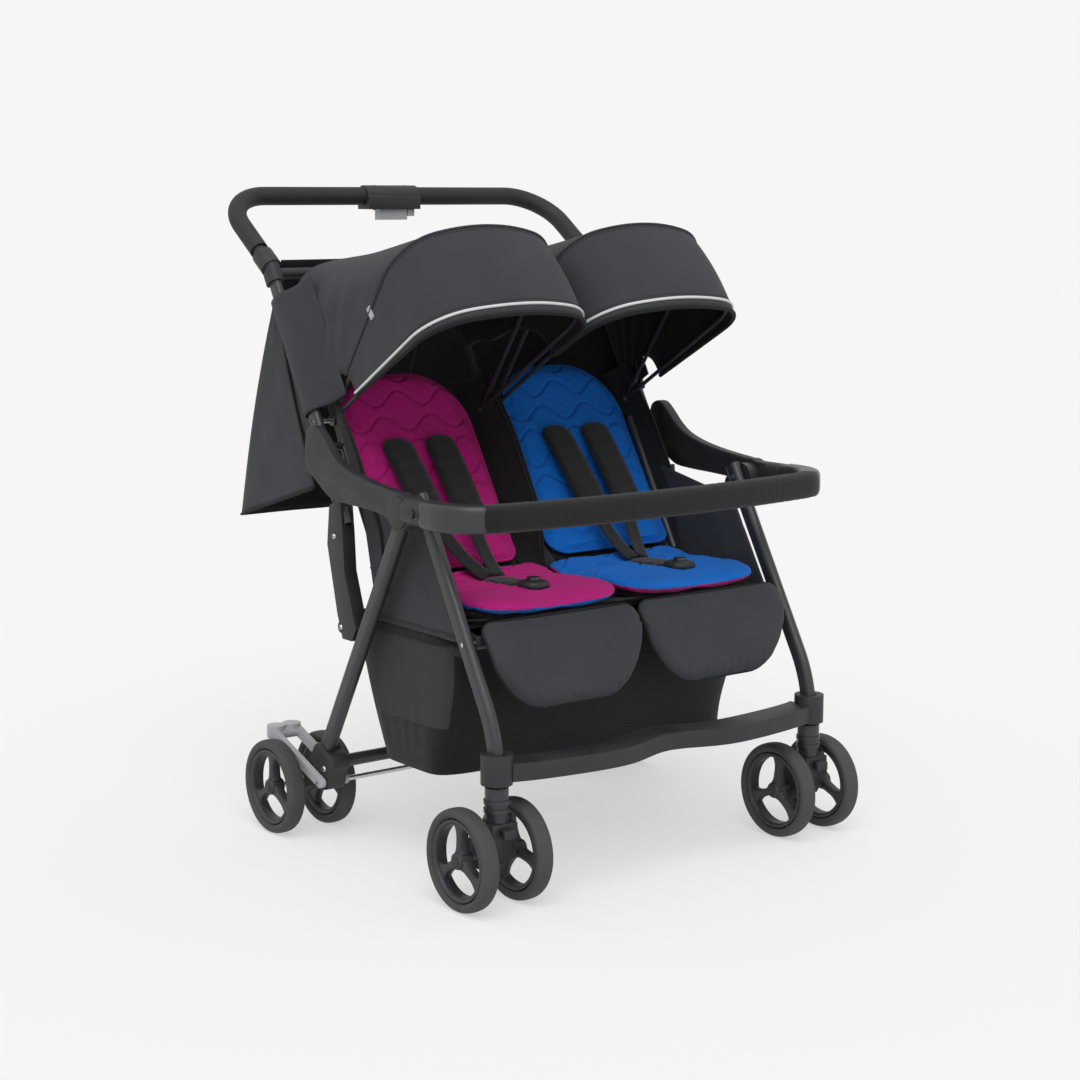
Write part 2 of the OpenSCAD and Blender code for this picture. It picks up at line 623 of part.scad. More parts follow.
// Seat frame: side tubes from the seat pivot to just short of the crease, with two cross tubes
seat_dir = (C - D) / norm(C - D);
seat_end = 22;
seat_cross = 64;
module seat_frame() color(frame_colour) on_floor_middle() difference() {
  union() {
    both_sides() bar(seat_tube_x, D, C - seat_end * seat_dir) circle(d = seat_tube_d);
    both_sides() pin_x(seat_tube_x - seat_tube_d / 2, seat_tube_x + seat_tube_d / 2, D, 20);
    pin_x(-seat_tube_x, seat_tube_x, D, seat_tube_d);
    pin_x(-seat_tube_x, seat_tube_x, D + seat_cross * seat_dir, seat_tube_d - 2);
  }
  both_sides() pin_x(seat_tube_x + seat_tube_d / 2 - 14 - gap, seat_tube_x + 40, D, pin_d + 2 * run);
}

// Soft pads: a crowned grid with drawn in corners, wavy sewn channels and a flat back
pad_nx = 12;
pad_ny = 16;
channel_every = 3;
channel_depth = 3;
function drawn_in(u, v, k) = [u * sqrt(1 - k * v * v / 2), v * sqrt(1 - k * u * u / 2)];
function pad_point(w, l, k, wave, i, j) = let (
    v = -1 + 2 * j / pad_ny,
    u0 = -1 + 2 * i / pad_nx,
    u = u0 + wave * sin(540 * v) * (1 - u0 * u0) * (1 - v * v),
    p = drawn_in(u, v, k))
  [p[0] * w / 2, (p[1] + 1) * l / 2];
function pad_height(t, depth, i, j) = let (u = -1 + 2 * i / pad_nx, v = -1 + 2 * j / pad_ny)
  t * (0.5 + 0.5 * (1 - pow(u, 4)) * (1 - pow(v, 4)))
  - (i % channel_every == 0 && i > 0 && i < pad_nx ? depth * (1 - pow(v, 4)) : 0);
function ring_index() = concat([for (i = [0:pad_nx - 1]) [i, 0]], [for (j = [0:pad_ny - 1]) [pad_nx, j]],
  [for (i = [pad_nx:-1:1]) [i, pad_ny]], [for (j = [pad_ny:-1:1]) [0, j]]);
function grid_no(p) = p[1] * (pad_nx + 1) + p[0];
module pad(w, l, t, k, wave = 0.05, depth = channel_depth) {
  ring = ring_index();
  n = len(ring);
  count = (pad_nx + 1) * (pad_ny + 1);
  top = [for (j = [0:pad_ny]) for (i = [0:pad_nx]) let (p = pad_point(w, l, k, wave, i, j))
    [p[0], p[1], pad_height(t, depth, i, j)]];
  low = [for (r = ring) let (p = pad_point(w, l, k, wave, r[0], r[1]))
    [p[0] * 0.97, mix(l / 2, p[1], 0.985), 0]];
  faces = concat(
    [for (j = [0:pad_ny - 1]) for (i = [0:pad_nx - 1]) let (a = grid_no([i, j])) [a, a + pad_nx + 1, a + 1]],
    [for (j = [0:pad_ny - 1]) for (i = [0:pad_nx - 1]) let (a = grid_no([i, j]))
      [a + 1, a + pad_nx + 1, a + pad_nx + 2]],
    [for (m = [0:n - 1]) [grid_no(ring[m]), grid_no(ring[(m + 1) % n]), count + m]],
    [for (m = [0:n - 1]) [grid_no(ring[(m + 1) % n]), count + (m + 1) % n, count + m]],
    [for (m = [0:n - 1]) [count + m, count + (m + 1) % n, count + n]]);
  polyhedron(concat(top, low, [[0, l / 2, 0]]), faces);
}

// Seats: a thin base on the seat tubes and a quilted liner on it
seat_slope = 2.5;
base_front = D + [26, 18];
liner_at = D + [0, 42.6];
module seat_base() color(cloth_colour) on_floor_middle() both_sides() side_plate(seat_x, seat_w)
  polygon([base_front, base_front + [4, 18], base_front + [18, 22.3], base_front + [160, 16],
    base_front + [164, 10], base_front + [40, 2.5]]);
module in_seat_plane() translate([0, liner_at[0], liner_at[1]]) rotate([-seat_slope, 0, 0]) children();
liner_over = 8;
module seat_liner(s) in_seat_plane() translate([s * seat_x, 0, 0])
  pad(seat_w + liner_over, seat_liner_len, liner_t, 0.35);
module seat_liner_left() color(left_liner_colour) on_floor_middle() seat_liner(-1);
module seat_liner_right() color(right_liner_colour) on_floor_middle() seat_liner(1);

// Backrests: a board set back behind its hinge at the crease, with a rounded top, carrying the back liner
module in_back_plane() translate([0, C[0], C[1]]) rotate([90 - lean, 0, 0]) children();
back_shift = 13;
back_x = seat_x + back_shift;
board_t = 10;
board_w = seat_w - 12;
board_len = 352;
board_top_r = 70;
hinge_sleeve_d = 15;
hinge_len = 180;
liner_gap = 0.4;
board_foot = 40;
board_start = 5;
board_lip = 7;
board_knee = 50;
board_set = 13;
board_tilt = 1;
sleeve_half = hinge_len / 2 + 4;
board_end = board_set + (board_len - board_knee) * tan(board_tilt);
board_profile = [[board_start, board_lip], [board_knee, -board_set], [board_len, -board_end],
  [board_len, -board_end - board_t], [board_knee, -board_set - board_t], [board_start, board_lip - board_t]];
board_arc_steps = 9;
board_side = concat([[hinge_len / 2, board_start], [hinge_len / 2, board_foot], [board_w / 2, board_foot]],
  [for (i = [0:board_arc_steps]) let (a = 90 * i / board_arc_steps)
    [board_w / 2 - board_top_r + board_top_r * cos(a), board_len - board_top_r + board_top_r * sin(a)]]);
module backrest(s) difference() {
  union() {
    in_back_plane() intersection() {
      translate([s * back_x, 0, -board_w]) linear_extrude(2 * board_w)
        polygon(concat(board_side, mirrored(board_side)));
      side_plate(s * back_x, 2 * board_w) polygon(board_profile);
    }
    pin_x(s * back_x - sleeve_half, s * back_x + sleeve_half, C, hinge_sleeve_d);
  }
  pin_x(-2 * leg_x, 2 * leg_x, C, hinge_d + 2 * run);
}
module backrest_left() color(cloth_colour) on_floor_middle() backrest(-1);
module backrest_right() color(cloth_colour) on_floor_middle() backrest(1);
// Children are made on the front of a board: x across, y up from its knee, z out.
module on_board(s) in_back_plane() translate([s * back_x, board_knee, liner_gap - board_set])
  rotate([-board_tilt, 0, 0]) children();
back_liner_from = 4;
module back_liner(s) on_board(s) translate([0, back_liner_from, 0])
  pad(board_w + 2, back_liner_len, liner_t, 0.55);
module back_liner_left() color(left_liner_colour) on_floor_middle() back_liner(-1);
module back_liner_right() color(right_liner_colour) on_floor_middle() back_liner(1);

// Harness: two shoulder pads on each back, a crotch strap and a buckle on each seat
strap_clear = 0.6;
shoulder_w = 46;
shoulder_len = 160;
shoulder_t = 12;
shoulder_x = 38;
shoulder_top = 186;
shoulder_tilt = 11;
module soft_slab(w, l, t) linear_extrude(t) {
  translate([-w / 2, w / 4]) square([w, l - w / 2]);
  translate([-w / 4, 0]) square([w / 2, l]);
  for (x = [-1, 1]) for (y = [w / 4, l - w / 4]) translate([x * w / 4, y]) circle(d = w / 2);
}
module harness(s) on_board(s) for (e = [-1, 1])
  translate([e * shoulder_x, shoulder_top, liner_t + strap_clear])
    rotate([-shoulder_tilt, 0, 0]) translate([0, -shoulder_len, 0])
      soft_slab(shoulder_w, shoulder_len, shoulder_t);
module harness_left() color("#151517") on_floor_middle() harness(-1);
module harness_right() color("#151517") on_floor_middle() harness(1);
crotch_w = 40;
crotch_len = 76;
crotch_t = 9;
crotch_from = 76;
buckle_w = 46;
buckle_len = 44;
buckle_t = 16;
buckle_button_d = 20;
buckle_travel = 3;
module on_liner(s) in_seat_plane() translate([s * seat_x, 0, liner_t + strap_clear]) children();
module crotch_strap(s) on_liner(s) difference() {
  union() {
    translate([0, crotch_from - 2, 0]) soft_slab(crotch_w, crotch_len, crotch_t);
    translate([0, crotch_from - buckle_len, 0]) soft_slab(buckle_w, buckle_len + 6, buckle_t);
  }
  translate([0, buckle_y(), buckle_t - buckle_travel - 4]) cylinder(d = buckle_button_d + 2 * run, h = 20);
}
function buckle_y() = crotch_from - buckle_len / 2;
module crotch_straps() color("#151517") on_floor_middle() for (s = [-1, 1]) crotch_strap(s);
module buckle_button(s) on_liner(s) translate([0, buckle_y(), buckle_t - 4 + gap])
  cylinder(d = buckle_button_d, h = 4 - gap + buckle_travel);
module buckle_button_left() color("#3c3d40") on_floor_middle() buckle_button(-1);
module buckle_button_right() color("#3c3d40") on_floor_middle() buckle_button(1);

// Calf rests: padded flaps that hang from the front seat tube on two hinge arms each
calf_lean = 12;
calf_over = 20;
calf_top = D + [-11, 32];
calf_arm_w = 16;
calf_arm_x = 88;
function calf_back(z) = calf_top[0] - (calf_top[1] - z) * tan(calf_lean);
module calf(s) {
  translate([s * seat_x, calf_top[0], calf_top[1]]) rotate([-90 - calf_lean, 0, 0]) rotate([0, 180, 0])
    pad(seat_w + calf_over, calf_len, calf_t, 0.4, 0, 2);
  for (arm = [s * seat_x - calf_arm_x, s * seat_x + calf_arm_x]) difference() {
    side_plate(arm, calf_arm_w) {
      translate(D) circle(d = seat_tube_d + 8);
      polygon([D + [0, 10], [calf_back(D[1] + 4) + gap, D[1] + 4], [calf_back(D[1] - 44) + gap, D[1] - 44],
        D + [4, -10]]);
    }
    pin_x(arm - calf_arm_w, arm + calf_arm_w, D, seat_tube_d + 2 * run);
  }
}
module calf_left() color(cloth_colour) on_floor_middle() calf(-1);
module calf_right() color(cloth_colour) on_floor_middle() calf(1);

// Canopies: two bows on a common pivot carry one curved sheet with a visor
eye_w = 7;
eye_d = 18;
bow_out = leg_x - leg_w / 2 - canopy_clear - bow_wire_d / 2;
bow_in = upright_d / 2 + canopy_clear + eye_w / 2;
canopy_x = (bow_out + bow_in) / 2;
bow_half_w = (bow_out - bow_in) / 2;
sheet_off = 6;
corner_r = 75;
crown_r = 300;
rear_angle = 67;
seam_angle = 125.4;
front_angle = 148.6;
seam_r = 356;
front_r = 354;
rear_r = 262;
// Points of an arch in its own plane: across, then out from the pivot; off moves it outwards.
arch_corner_steps = 5;
arch_crown_steps = 6;
function arch(reach, off, low) = let (
    turn = asin((bow_half_w - corner_r) / (crown_r - corner_r)),
    centre = [bow_half_w - corner_r, reach - crown_r + (crown_r - corner_r) * cos(turn)],
    right = concat([[bow_half_w + off, low]],
      [for (i = [0:arch_corner_steps]) let (a = (90 - turn) * i / arch_corner_steps)
        centre + (corner_r + off) * [cos(a), sin(a)]]),
    crown = [for (i = [1:arch_crown_steps - 1]) let (a = turn - 2 * turn * i / arch_crown_steps)
        [0, reach - crown_r] + (crown_r + off) * [sin(a), cos(a)]])
  concat(right, crown, [for (i = [len(right) - 1:-1:0]) [-right[i][0], right[i][1]]]);
module bow(angle, reach) rotate([angle, 0, 0])
  tube_sweep(arch(reach, 0, eye_d / 2 + 0.4), bow_wire_d, bow_wire_d - 3, 8);
module canopy_bows(s) translate([s * canopy_x, canopy_pivot[0], canopy_pivot[1]]) {
  bow(seam_angle, seam_r);
  bow(front_angle, front_r);
  for (e = [-1, 1]) translate([e * bow_half_w - eye_w / 2, 0, 0]) rotate([0, 90, 0]) difference() {
    cylinder(d = eye_d, h = eye_w);
    translate([0, 0, -1]) cylinder(d = pin_d + 2 * run, h = eye_w + 2);
  }
}
module canopy_bows_left() color(frame_colour) on_floor_middle() canopy_bows(-1);
module canopy_bows_right() color(frame_colour) on_floor_middle() canopy_bows(1);
module canopy_pins() {
  pin_x(-canopy_x + bow_half_w - eye_w / 2 - 2, canopy_x - bow_half_w + eye_w / 2 + 2, canopy_pivot, pin_d);
  both_sides() pin_x(canopy_x + bow_half_w - eye_w / 2 - 2, handle_x + handle_w / 2 - 2, canopy_pivot, pin_d);
}
rear_steps = 6;
visor_steps = 4;
canopy_low = 84;
visor_over = 3;
// Angles of the sheet's rows, from the rear edge over the seam bow to the front hem.
sheet_angles = concat([for (i = [0:rear_steps - 1]) mix(rear_angle, seam_angle, i / rear_steps)],
  [for (i = [0:visor_steps]) mix(seam_angle, front_angle, i / visor_steps)], [front_angle + visor_over]);
function sheet_reach(a) = a < seam_angle
  ? let (p = rear_r * [cos(rear_angle), sin(rear_angle)],
      q = seam_r * [cos(seam_angle), sin(seam_angle)]) chord(p, q, a)
  : mix(seam_r, front_r, (a - seam_angle) / (front_angle - seam_angle));
function chord(p, q, a) = (p[0] * q[1] - p[1] * q[0]) / (cos(a) * (q[1] - p[1]) - sin(a) * (q[0] - p[0]));
function sheet_row(a, off) = let (pts = arch(sheet_reach(a), off, canopy_low))
  [for (p = pts) [p[0], p[1] * cos(a), p[1] * sin(a)]];
// A closed sheet from two grids of points with the same rows and columns.
module shell(outer, inner) {
  rows = len(outer);
  cols = len(outer[0]);
  n = rows * cols;
  flat = concat([for (r = outer) for (p = r) p], [for (r = inner) for (p = r) p]);
  function id(r, c) = r * cols + c;
  faces = concat(
    [for (r = [0:rows - 2]) for (c = [0:cols - 2]) [id(r, c), id(r + 1, c), id(r, c + 1)]],
    [for (r = [0:rows - 2]) for (c = [0:cols - 2]) [id(r, c + 1), id(r + 1, c), id(r + 1, c + 1)]],
    [for (r = [0:rows - 2]) for (c = [0:cols - 2]) [n + id(r, c), n + id(r, c + 1), n + id(r + 1, c)]],
    [for (r = [0:rows - 2]) for (c = [0:cols - 2])
      [n + id(r, c + 1), n + id(r + 1, c + 1), n + id(r + 1, c)]],
    [for (r = [0:rows - 2]) each [[id(r, 0), n + id(r, 0), id(r + 1, 0)],
      [id(r + 1, 0), n + id(r, 0), n + id(r + 1, 0)]]],
    [for (r = [0:rows - 2]) let (c = cols - 1)
      each [[id(r, c), id(r + 1, c), n + id(r, c)], [id(r + 1, c), n + id(r + 1, c), n + id(r, c)]]],
    [for (c = [0:cols - 2]) each [[id(0, c), id(0, c + 1), n + id(0, c)],
      [id(0, c + 1), n + id(0, c + 1), n + id(0, c)]]],
    [for (c = [0:cols - 2]) let (r = rows - 1)
      each [[id(r, c), n + id(r, c), id(r, c + 1)], [id(r, c + 1), n + id(r, c), n + id(r, c + 1)]]]);
  polyhedron(flat, faces);
}
module canopy(s) translate([s * canopy_x, canopy_pivot[0], canopy_pivot[1]]) shell(
  [for (a = sheet_angles) sheet_row(a, sheet_off + cloth_t)],
  [for (a = sheet_angles) sheet_row(a, sheet_off)]);
module canopy_left() color(cloth_colour) on_floor_middle() canopy(-1);
module canopy_right() color(cloth_colour) on_floor_middle() canopy(1);

// Rear curtains: hang from the handle cross tube, flare back and turn forward at their outer edge
curtain_top = collar - 14 * up_dir + 12 * [0.8, 0.6];
curtain_foot = [grip_at[0] + grip_d / 2 - 8, 478];
curtain_in = 9;
curtain_out = handle_x - handle_w / 2 - 12;
curtain_rows = 6;
curtain_cols = 14;
curtain_turn = 0.8;
curtain_wrap = 288;
fold_depth = 5;
function curtain_at(t) = [mix(curtain_top[0], curtain_foot[0], t) + 14 * sin(180 * t),
  mix(curtain_top[1], curtain_foot[1], t)];
function handle_line(z) = C[0] + (z - C[1]) * tan(lean);
function curtain_point(t, u, off) = let (
    p = curtain_at(t),
    z = mix(p[1], p[1] + 70 * t, max(0, (u - curtain_turn) / (1 - curtain_turn))),
    wave = fold_depth * t * sin(360 * 2 * u),
    front = min(p[0], max(handle_line(z) + 14, p[0] - curtain_wrap * max(0, t - 1 / curtain_rows))))
  u < curtain_turn
    ? [mix(curtain_in, curtain_out, u / curtain_turn), p[0] + wave * (curtain_turn - u) - off, p[1]]
    : [curtain_out - off, mix(p[0] - off, front - off, (u - curtain_turn) / (1 - curtain_turn)), z];
function curtain_face(off) = [for (r = [0:curtain_rows])
  [for (c = [0:curtain_cols]) curtain_point(r / curtain_rows, c / curtain_cols, off)]];
module curtain() shell(curtain_face(0), curtain_face(cloth_t));
module rear_curtains() color(cloth_colour) on_floor_middle() both_sides() curtain();

// Basket: an open tub of cloth between the legs
basket_half = leg_x - leg_w / 2 - gap;
rim_front = 36;
rim_len = 80;
rim_h = 14;
basket_top = D[1] - 26;
basket_floor = 148;
basket_front = D[0] + 46;
basket_rear = wheelbase - 93;
module basket_side(i) polygon([[basket_front + i, basket_top + i], [basket_front + 12 + i, basket_floor + 48],
  [basket_front + 50 + 0.6 * i, basket_floor + i], [basket_rear - 74 - 0.6 * i, basket_floor + 12 + i],
  [basket_rear - 9 - i, basket_top - 44], [basket_rear - i, basket_top + i]]);
module basket() color("#1d1d1f") on_floor_middle() {
  difference() {
    side_plate(0, 2 * basket_half) basket_side(0);
    side_plate(0, 2 * (basket_half - cloth_t)) basket_side(cloth_t);
  }
  both_sides() side_plate(basket_half - cloth_t / 2, cloth_t)
    translate([rim_front, basket_top - rim_h]) square([rim_len, rim_h]);
}

// Side panels: cloth beside each seat, below the armrests
panel_x = seat_tube_x + seat_tube_d / 2 + gap;
panel_t = leg_x - leg_w / 2 - gap - panel_x;
module side_panels() color(cloth_colour) on_floor_middle() both_sides()
  translate([panel_x, 0, 0]) rotate([90, 0, 90]) linear_extrude(panel_t)
    polygon([D + [24, 30], D + 172 * up_dir + [14, 0], A - [45, 42], C + [-12, 12]]);

front_legs();
footrest();
leg_pins();
fork_left();
fork_right();
front_axle_left();
front_axle_right();
swivel_lock_left();
swivel_lock_right();
front_wheel_1();
front_wheel_2();
front_wheel_3();
front_wheel_4();
rear_wheel_1();
rear_wheel_2();
rear_wheel_3();
rear_wheel_4();
rear_legs();
rear_cross_tube();
rear_housings();
rear_axles();
brake_pedal();
brake_rod();
armrests();
arm_pins();
bumper_tube();
bumper_cover();
bumper_button_left();
bumper_button_right();
handle_tube();
grip();
handle_cross();
fold_housing();
latch_housings();
back_frame();
fold_lever();
safety_button();
latch_sleeves();
seat_frame();
seat_base();
seat_liner_left();
seat_liner_right();
backrest_left();
backrest_right();
back_liner_left();
back_liner_right();
harness_left();
harness_right();
crotch_straps();
buckle_button_left();
buckle_button_right();
calf_left();
calf_right();
canopy_bows_left();
canopy_bows_right();
canopy_left();
canopy_right();
rear_curtains();
basket();
side_panels();
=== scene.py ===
"""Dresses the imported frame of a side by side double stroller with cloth, padding, wheels and finishes."""
import json
import math

import bmesh
import bpy
from bpy.props import FloatProperty, FloatVectorProperty, IntProperty, PointerProperty
from bpy.types import Operator, Panel, PropertyGroup
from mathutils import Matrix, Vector
from mathutils.bvhtree import BVHTree


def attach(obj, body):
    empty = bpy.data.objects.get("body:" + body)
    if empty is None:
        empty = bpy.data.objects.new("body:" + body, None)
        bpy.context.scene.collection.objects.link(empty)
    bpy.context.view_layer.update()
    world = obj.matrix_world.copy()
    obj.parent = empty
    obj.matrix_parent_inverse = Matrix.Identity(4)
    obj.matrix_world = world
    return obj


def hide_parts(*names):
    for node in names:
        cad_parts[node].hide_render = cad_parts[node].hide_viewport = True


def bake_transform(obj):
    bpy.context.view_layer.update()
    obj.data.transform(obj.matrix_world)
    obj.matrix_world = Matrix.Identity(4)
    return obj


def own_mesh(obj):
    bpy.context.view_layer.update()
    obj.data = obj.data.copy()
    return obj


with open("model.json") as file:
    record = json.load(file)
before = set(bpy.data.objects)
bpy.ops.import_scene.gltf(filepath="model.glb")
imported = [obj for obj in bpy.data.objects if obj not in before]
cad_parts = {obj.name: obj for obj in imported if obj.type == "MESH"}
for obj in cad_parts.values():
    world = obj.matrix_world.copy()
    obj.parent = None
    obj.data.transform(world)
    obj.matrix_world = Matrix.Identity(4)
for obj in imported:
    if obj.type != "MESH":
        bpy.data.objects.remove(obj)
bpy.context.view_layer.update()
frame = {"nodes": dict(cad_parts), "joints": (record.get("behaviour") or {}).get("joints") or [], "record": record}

bl_info = {
    "name": "Side by side stroller dressing",
    "version": (1, 0, 0),
    "blender": (4, 5, 0),
    "location": "View3D > Sidebar > Stroller",
    "description": "Builds the cloth, pads, wheels and finishes of a folding double stroller on its frame",
    "category": "Add Mesh",
}

# Places that the frame gives: pivots of the fold, the hoods, the backrests and the wheels.
PIVOT = {j["name"]: Vector(j["pos_m"]) for j in frame["joints"] if "pos_m" in j}
ARM_REAR = PIVOT["handle_pivot"]
SEAT_FRONT = PIVOT["seat_pivot"]
CREASE = PIVOT["recline_left"]
HOOD_PIVOT = PIVOT["canopy_left_fold"]
FRONT_AXLE = PIVOT["front_wheel_1_spin"]
UP_Y = HOOD_PIVOT.y - ARM_REAR.y
UP_Z = HOOD_PIVOT.z - ARM_REAR.z
LEAN = math.atan2(UP_Y, UP_Z)
SIDES = (("left", -1), ("right", 1))
MM = 0.001


def side_point(x, y, z):
    """A point in metres from millimetres, with y counted back from the front axle."""
    return Vector((x * MM, FRONT_AXLE.y + y * MM, z * MM))


def mix(a, b, t):
    return a + (b - a) * t


def smooth(t):
    t = min(1.0, max(0.0, t))
    return t * t * (3 - 2 * t)


def bump(t, centre, width):
    """A rounded hill of height 1 around centre."""
    return math.exp(-((t - centre) / width) ** 2)


# Mesh helpers

def new_object(name, mesh):
    obj = bpy.data.objects.new(name, mesh)
    bpy.context.scene.collection.objects.link(obj)
    return obj


def shade_smooth(mesh):
    mesh.polygons.foreach_set("use_smooth", [True] * len(mesh.polygons))


def mesh_object(name, verts, faces, rounded=True):
    mesh = bpy.data.meshes.new(name)
    mesh.from_pydata([tuple(v) for v in verts], [], faces)
    mesh.validate()
    if rounded:
        shade_smooth(mesh)
    mesh.update()
    return new_object(name, mesh)


def outward(obj):
    """Merges doubled points and turns all faces outwards."""
    work = bmesh.new()
    work.from_mesh(obj.data)
    bmesh.ops.remove_doubles(work, verts=work.verts, dist=1e-6)
    bmesh.ops.recalc_face_normals(work, faces=work.faces)
    work.to_mesh(obj.data)
    work.free()
    obj.data.update()
    return obj


def grid_faces(rows, cols, wrap_rows=False, wrap_cols=False):
    faces = []
    for r in range(rows if wrap_rows else rows - 1):
        for c in range(cols if wrap_cols else cols - 1):
            a = r * cols + c
            b = r * cols + (c + 1) % cols
            d = ((r + 1) % rows) * cols + c
            e = ((r + 1) % rows) * cols + (c + 1) % cols
            faces.append((a, b, e, d))
    return faces


def grid_object(name, rows, wrap_rows=False, wrap_cols=False):
    verts = [p for row in rows for p in row]
    return mesh_object(name, verts, grid_faces(len(rows), len(rows[0]), wrap_rows, wrap_cols))


def apply_modifiers(obj):
    deps = bpy.context.evaluated_depsgraph_get()
    mesh = bpy.data.meshes.new_from_object(obj.evaluated_get(deps))
    old = obj.data
    obj.modifiers.clear()
    obj.data = mesh
    bpy.data.meshes.remove(old)
    return obj


def subdivided(obj, levels):
    mod = obj.modifiers.new("Round", "SUBSURF")
    mod.levels = levels
    mod.render_levels = levels
    return apply_modifiers(obj)


def thickened(obj, thickness, offset=-1.0):
    mod = obj.modifiers.new("Cloth thickness", "SOLIDIFY")
    mod.thickness = thickness
    mod.offset = offset
    mod.use_even_offset = True
    return apply_modifiers(obj)


def joined(name, objs):
    """One object from several, each with its own materials."""
    work = bmesh.new()
    mats = []
    for o in objs:
        for m in o.data.materials:
            if m not in mats:
                mats.append(m)
    for o in objs:
        part = bmesh.new()
        part.from_mesh(o.data)
        for f in part.faces:
            if o.data.materials:
                f.material_index = mats.index(o.data.materials[f.material_index])
        temp = bpy.data.meshes.new("part")
        part.to_mesh(temp)
        part.free()
        work.from_mesh(temp)
        bpy.data.meshes.remove(temp)
        old = o.data
        bpy.data.objects.remove(o)
        bpy.data.meshes.remove(old)
    mesh = bpy.data.meshes.new(name)
    work.to_mesh(mesh)
    work.free()
    for m in mats:
        mesh.materials.append(m)
    return new_object(name, mesh)


def capped(name, rings):
    """A closed skin over a line of rings, with a face at each end."""
    verts = [v for ring in rings for v in ring]
    cols = len(rings[0])
    faces = grid_faces(len(rings), cols, False, True)
    faces.append(tuple(range(cols)))
    faces.append(tuple(reversed(range(len(verts) - cols, len(verts)))))
    return outward(mesh_object(name, verts, faces))


def swept(name, path, section, up=Vector((0, 0, 1))):
    """Sweeps section, a list of (side, up) offsets or a function of the path share, along path."""
    rows = []
    n = len(path)
    for i, p in enumerate(path):
        ahead = path[min(i + 1, n - 1)] - path[max(i - 1, 0)]
        t = ahead.normalized()
        side = t.cross(up).normalized()
        top = side.cross(t).normalized()
        ring = section(i / (n - 1)) if callable(section) else section
        rows.append([p + side * a + top * b for a, b in ring])
    return capped(name, rows)


def round_section(radius, count=8):
    turn = [2 * math.pi * k / count for k in range(count)]
    return [(radius * math.cos(a), radius * math.sin(a)) for a in turn]


def strap_section(width, thick):
    """The section of a flat strap, with even points across its width."""
    half = width / 2
    steps = 9
    top = [(half * (-1 + 2 * k / (steps - 1)), thick / 2) for k in range(steps)]
    low = [(a, -thick / 2) for a, _ in reversed(top)]
    return top + low


def tape_section(thick, wide):
    """The four corners of a tape's section, from its half sizes."""
    return [(-thick, -wide), (thick, -wide), (thick, wide), (-thick, wide)]


def revolved(name, profile, centre, count):
    """Turns a profile of (radius, across) pairs around the X axis through centre."""
    rows = []
    for k in range(count):
        a = 2 * math.pi * k / count
        rows.append([centre + Vector((w, r * math.cos(a), r * math.sin(a))) for r, w in profile])
    return outward(grid_object(name, rows, wrap_rows=True, wrap_cols=True))


def bevelled(obj, width, angle):
    """Rounds the edges that are sharper than angle, in degrees."""
    mod = obj.modifiers.new("Edge", "BEVEL")
    mod.width = width
    mod.segments = 3
    mod.limit_method = "ANGLE"
    mod.angle_limit = math.radians(angle)
    apply_modifiers(obj)
    shade_by_angle(obj, 40)
    return obj


def softened(node, width):
    """A copy of a CAD node's solid with its sharp edges rounded."""
    source = frame["nodes"][node]
    work = bmesh.new()
    work.from_mesh(source.data)
    bmesh.ops.remove_doubles(work, verts=work.verts, dist=2e-6)
    flat = math.radians(1.5)
    bmesh.ops.dissolve_limit(work, angle_limit=flat, verts=work.verts, edges=work.edges)
    mesh = bpy.data.meshes.new(node + "_moulding")
    work.to_mesh(mesh)
    work.free()
    mesh.materials.clear()
    return bevelled(new_object(node + "_moulding", mesh), width, 35)


def shade_by_angle(obj, degrees):
    shade_smooth(obj.data)
    obj.data.set_sharp_from_angle(angle=math.radians(degrees))
    obj.data.update()


def dress(obj, material, body, slot, *nodes):
    """Gives a finished piece its material and body and hides the CAD nodes it stands for; slot is not used."""
    if material is not None and not obj.data.materials:
        obj.data.materials.append(material)
    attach(obj, body)
    if nodes:
        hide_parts(*nodes)
    return obj


def in_finish(name, *objs):
    """Gives pieces a finish before they are joined, and returns them as a list."""
    for obj in objs:
        obj.data.materials.append(finish(name))
    return list(objs)


def repaint(node, finish_name):
    """Gives a CAD node a better material."""
    mats = frame["nodes"][node].data.materials
    mats.clear()
    mats.append(finish(finish_name))


def set_attribute(obj, name, values):
    attr = obj.data.attributes.get(name) or obj.data.attributes.new(name, "FLOAT", "POINT")
    attr.data.foreach_set("value", values)


# Shader node groups that several finishes share

def node_group(name, inputs, outputs):
    tree = bpy.data.node_groups.new(name, "ShaderNodeTree")
    for label, kind, value in inputs:
        socket = tree.interface.new_socket(label, in_out="INPUT", socket_type=kind)
        socket.default_value = value
    for label, kind in outputs:
        tree.interface.new_socket(label, in_out="OUTPUT", socket_type=kind)
    source = tree.nodes.new("NodeGroupInput")
    sink = tree.nodes.new("NodeGroupOutput")
    return tree, source, sink


def math_node(tree, operation, a, b):
    n = tree.nodes.new("ShaderNodeMath")
    n.operation = operation
    for i, value in enumerate((a, b)):
        if isinstance(value, (int, float)):
            n.inputs[i].default_value = value
        else:
            tree.links.new(value, n.inputs[i])
    return n.outputs[0]


def wave_node(tree, coords, scale, direction, distortion=0.6):
    n = tree.nodes.new("ShaderNodeTexWave")
    n.wave_type = "BANDS"
    n.bands_direction = direction
    n.wave_profile = "SIN"
    n.inputs["Distortion"].default_value = distortion
    n.inputs["Detail"].default_value = 1.0
    tree.links.new(coords, n.inputs["Vector"])
    tree.links.new(scale, n.inputs["Scale"])
    return n.outputs["Fac"]


def noise_node(tree, coords, scale, detail):
    n = tree.nodes.new("ShaderNodeTexNoise")
    n.inputs["Detail"].default_value = detail
    n.inputs["Scale"].default_value = scale
    tree.links.new(coords, n.inputs["Vector"])
    return n.outputs["Fac"]


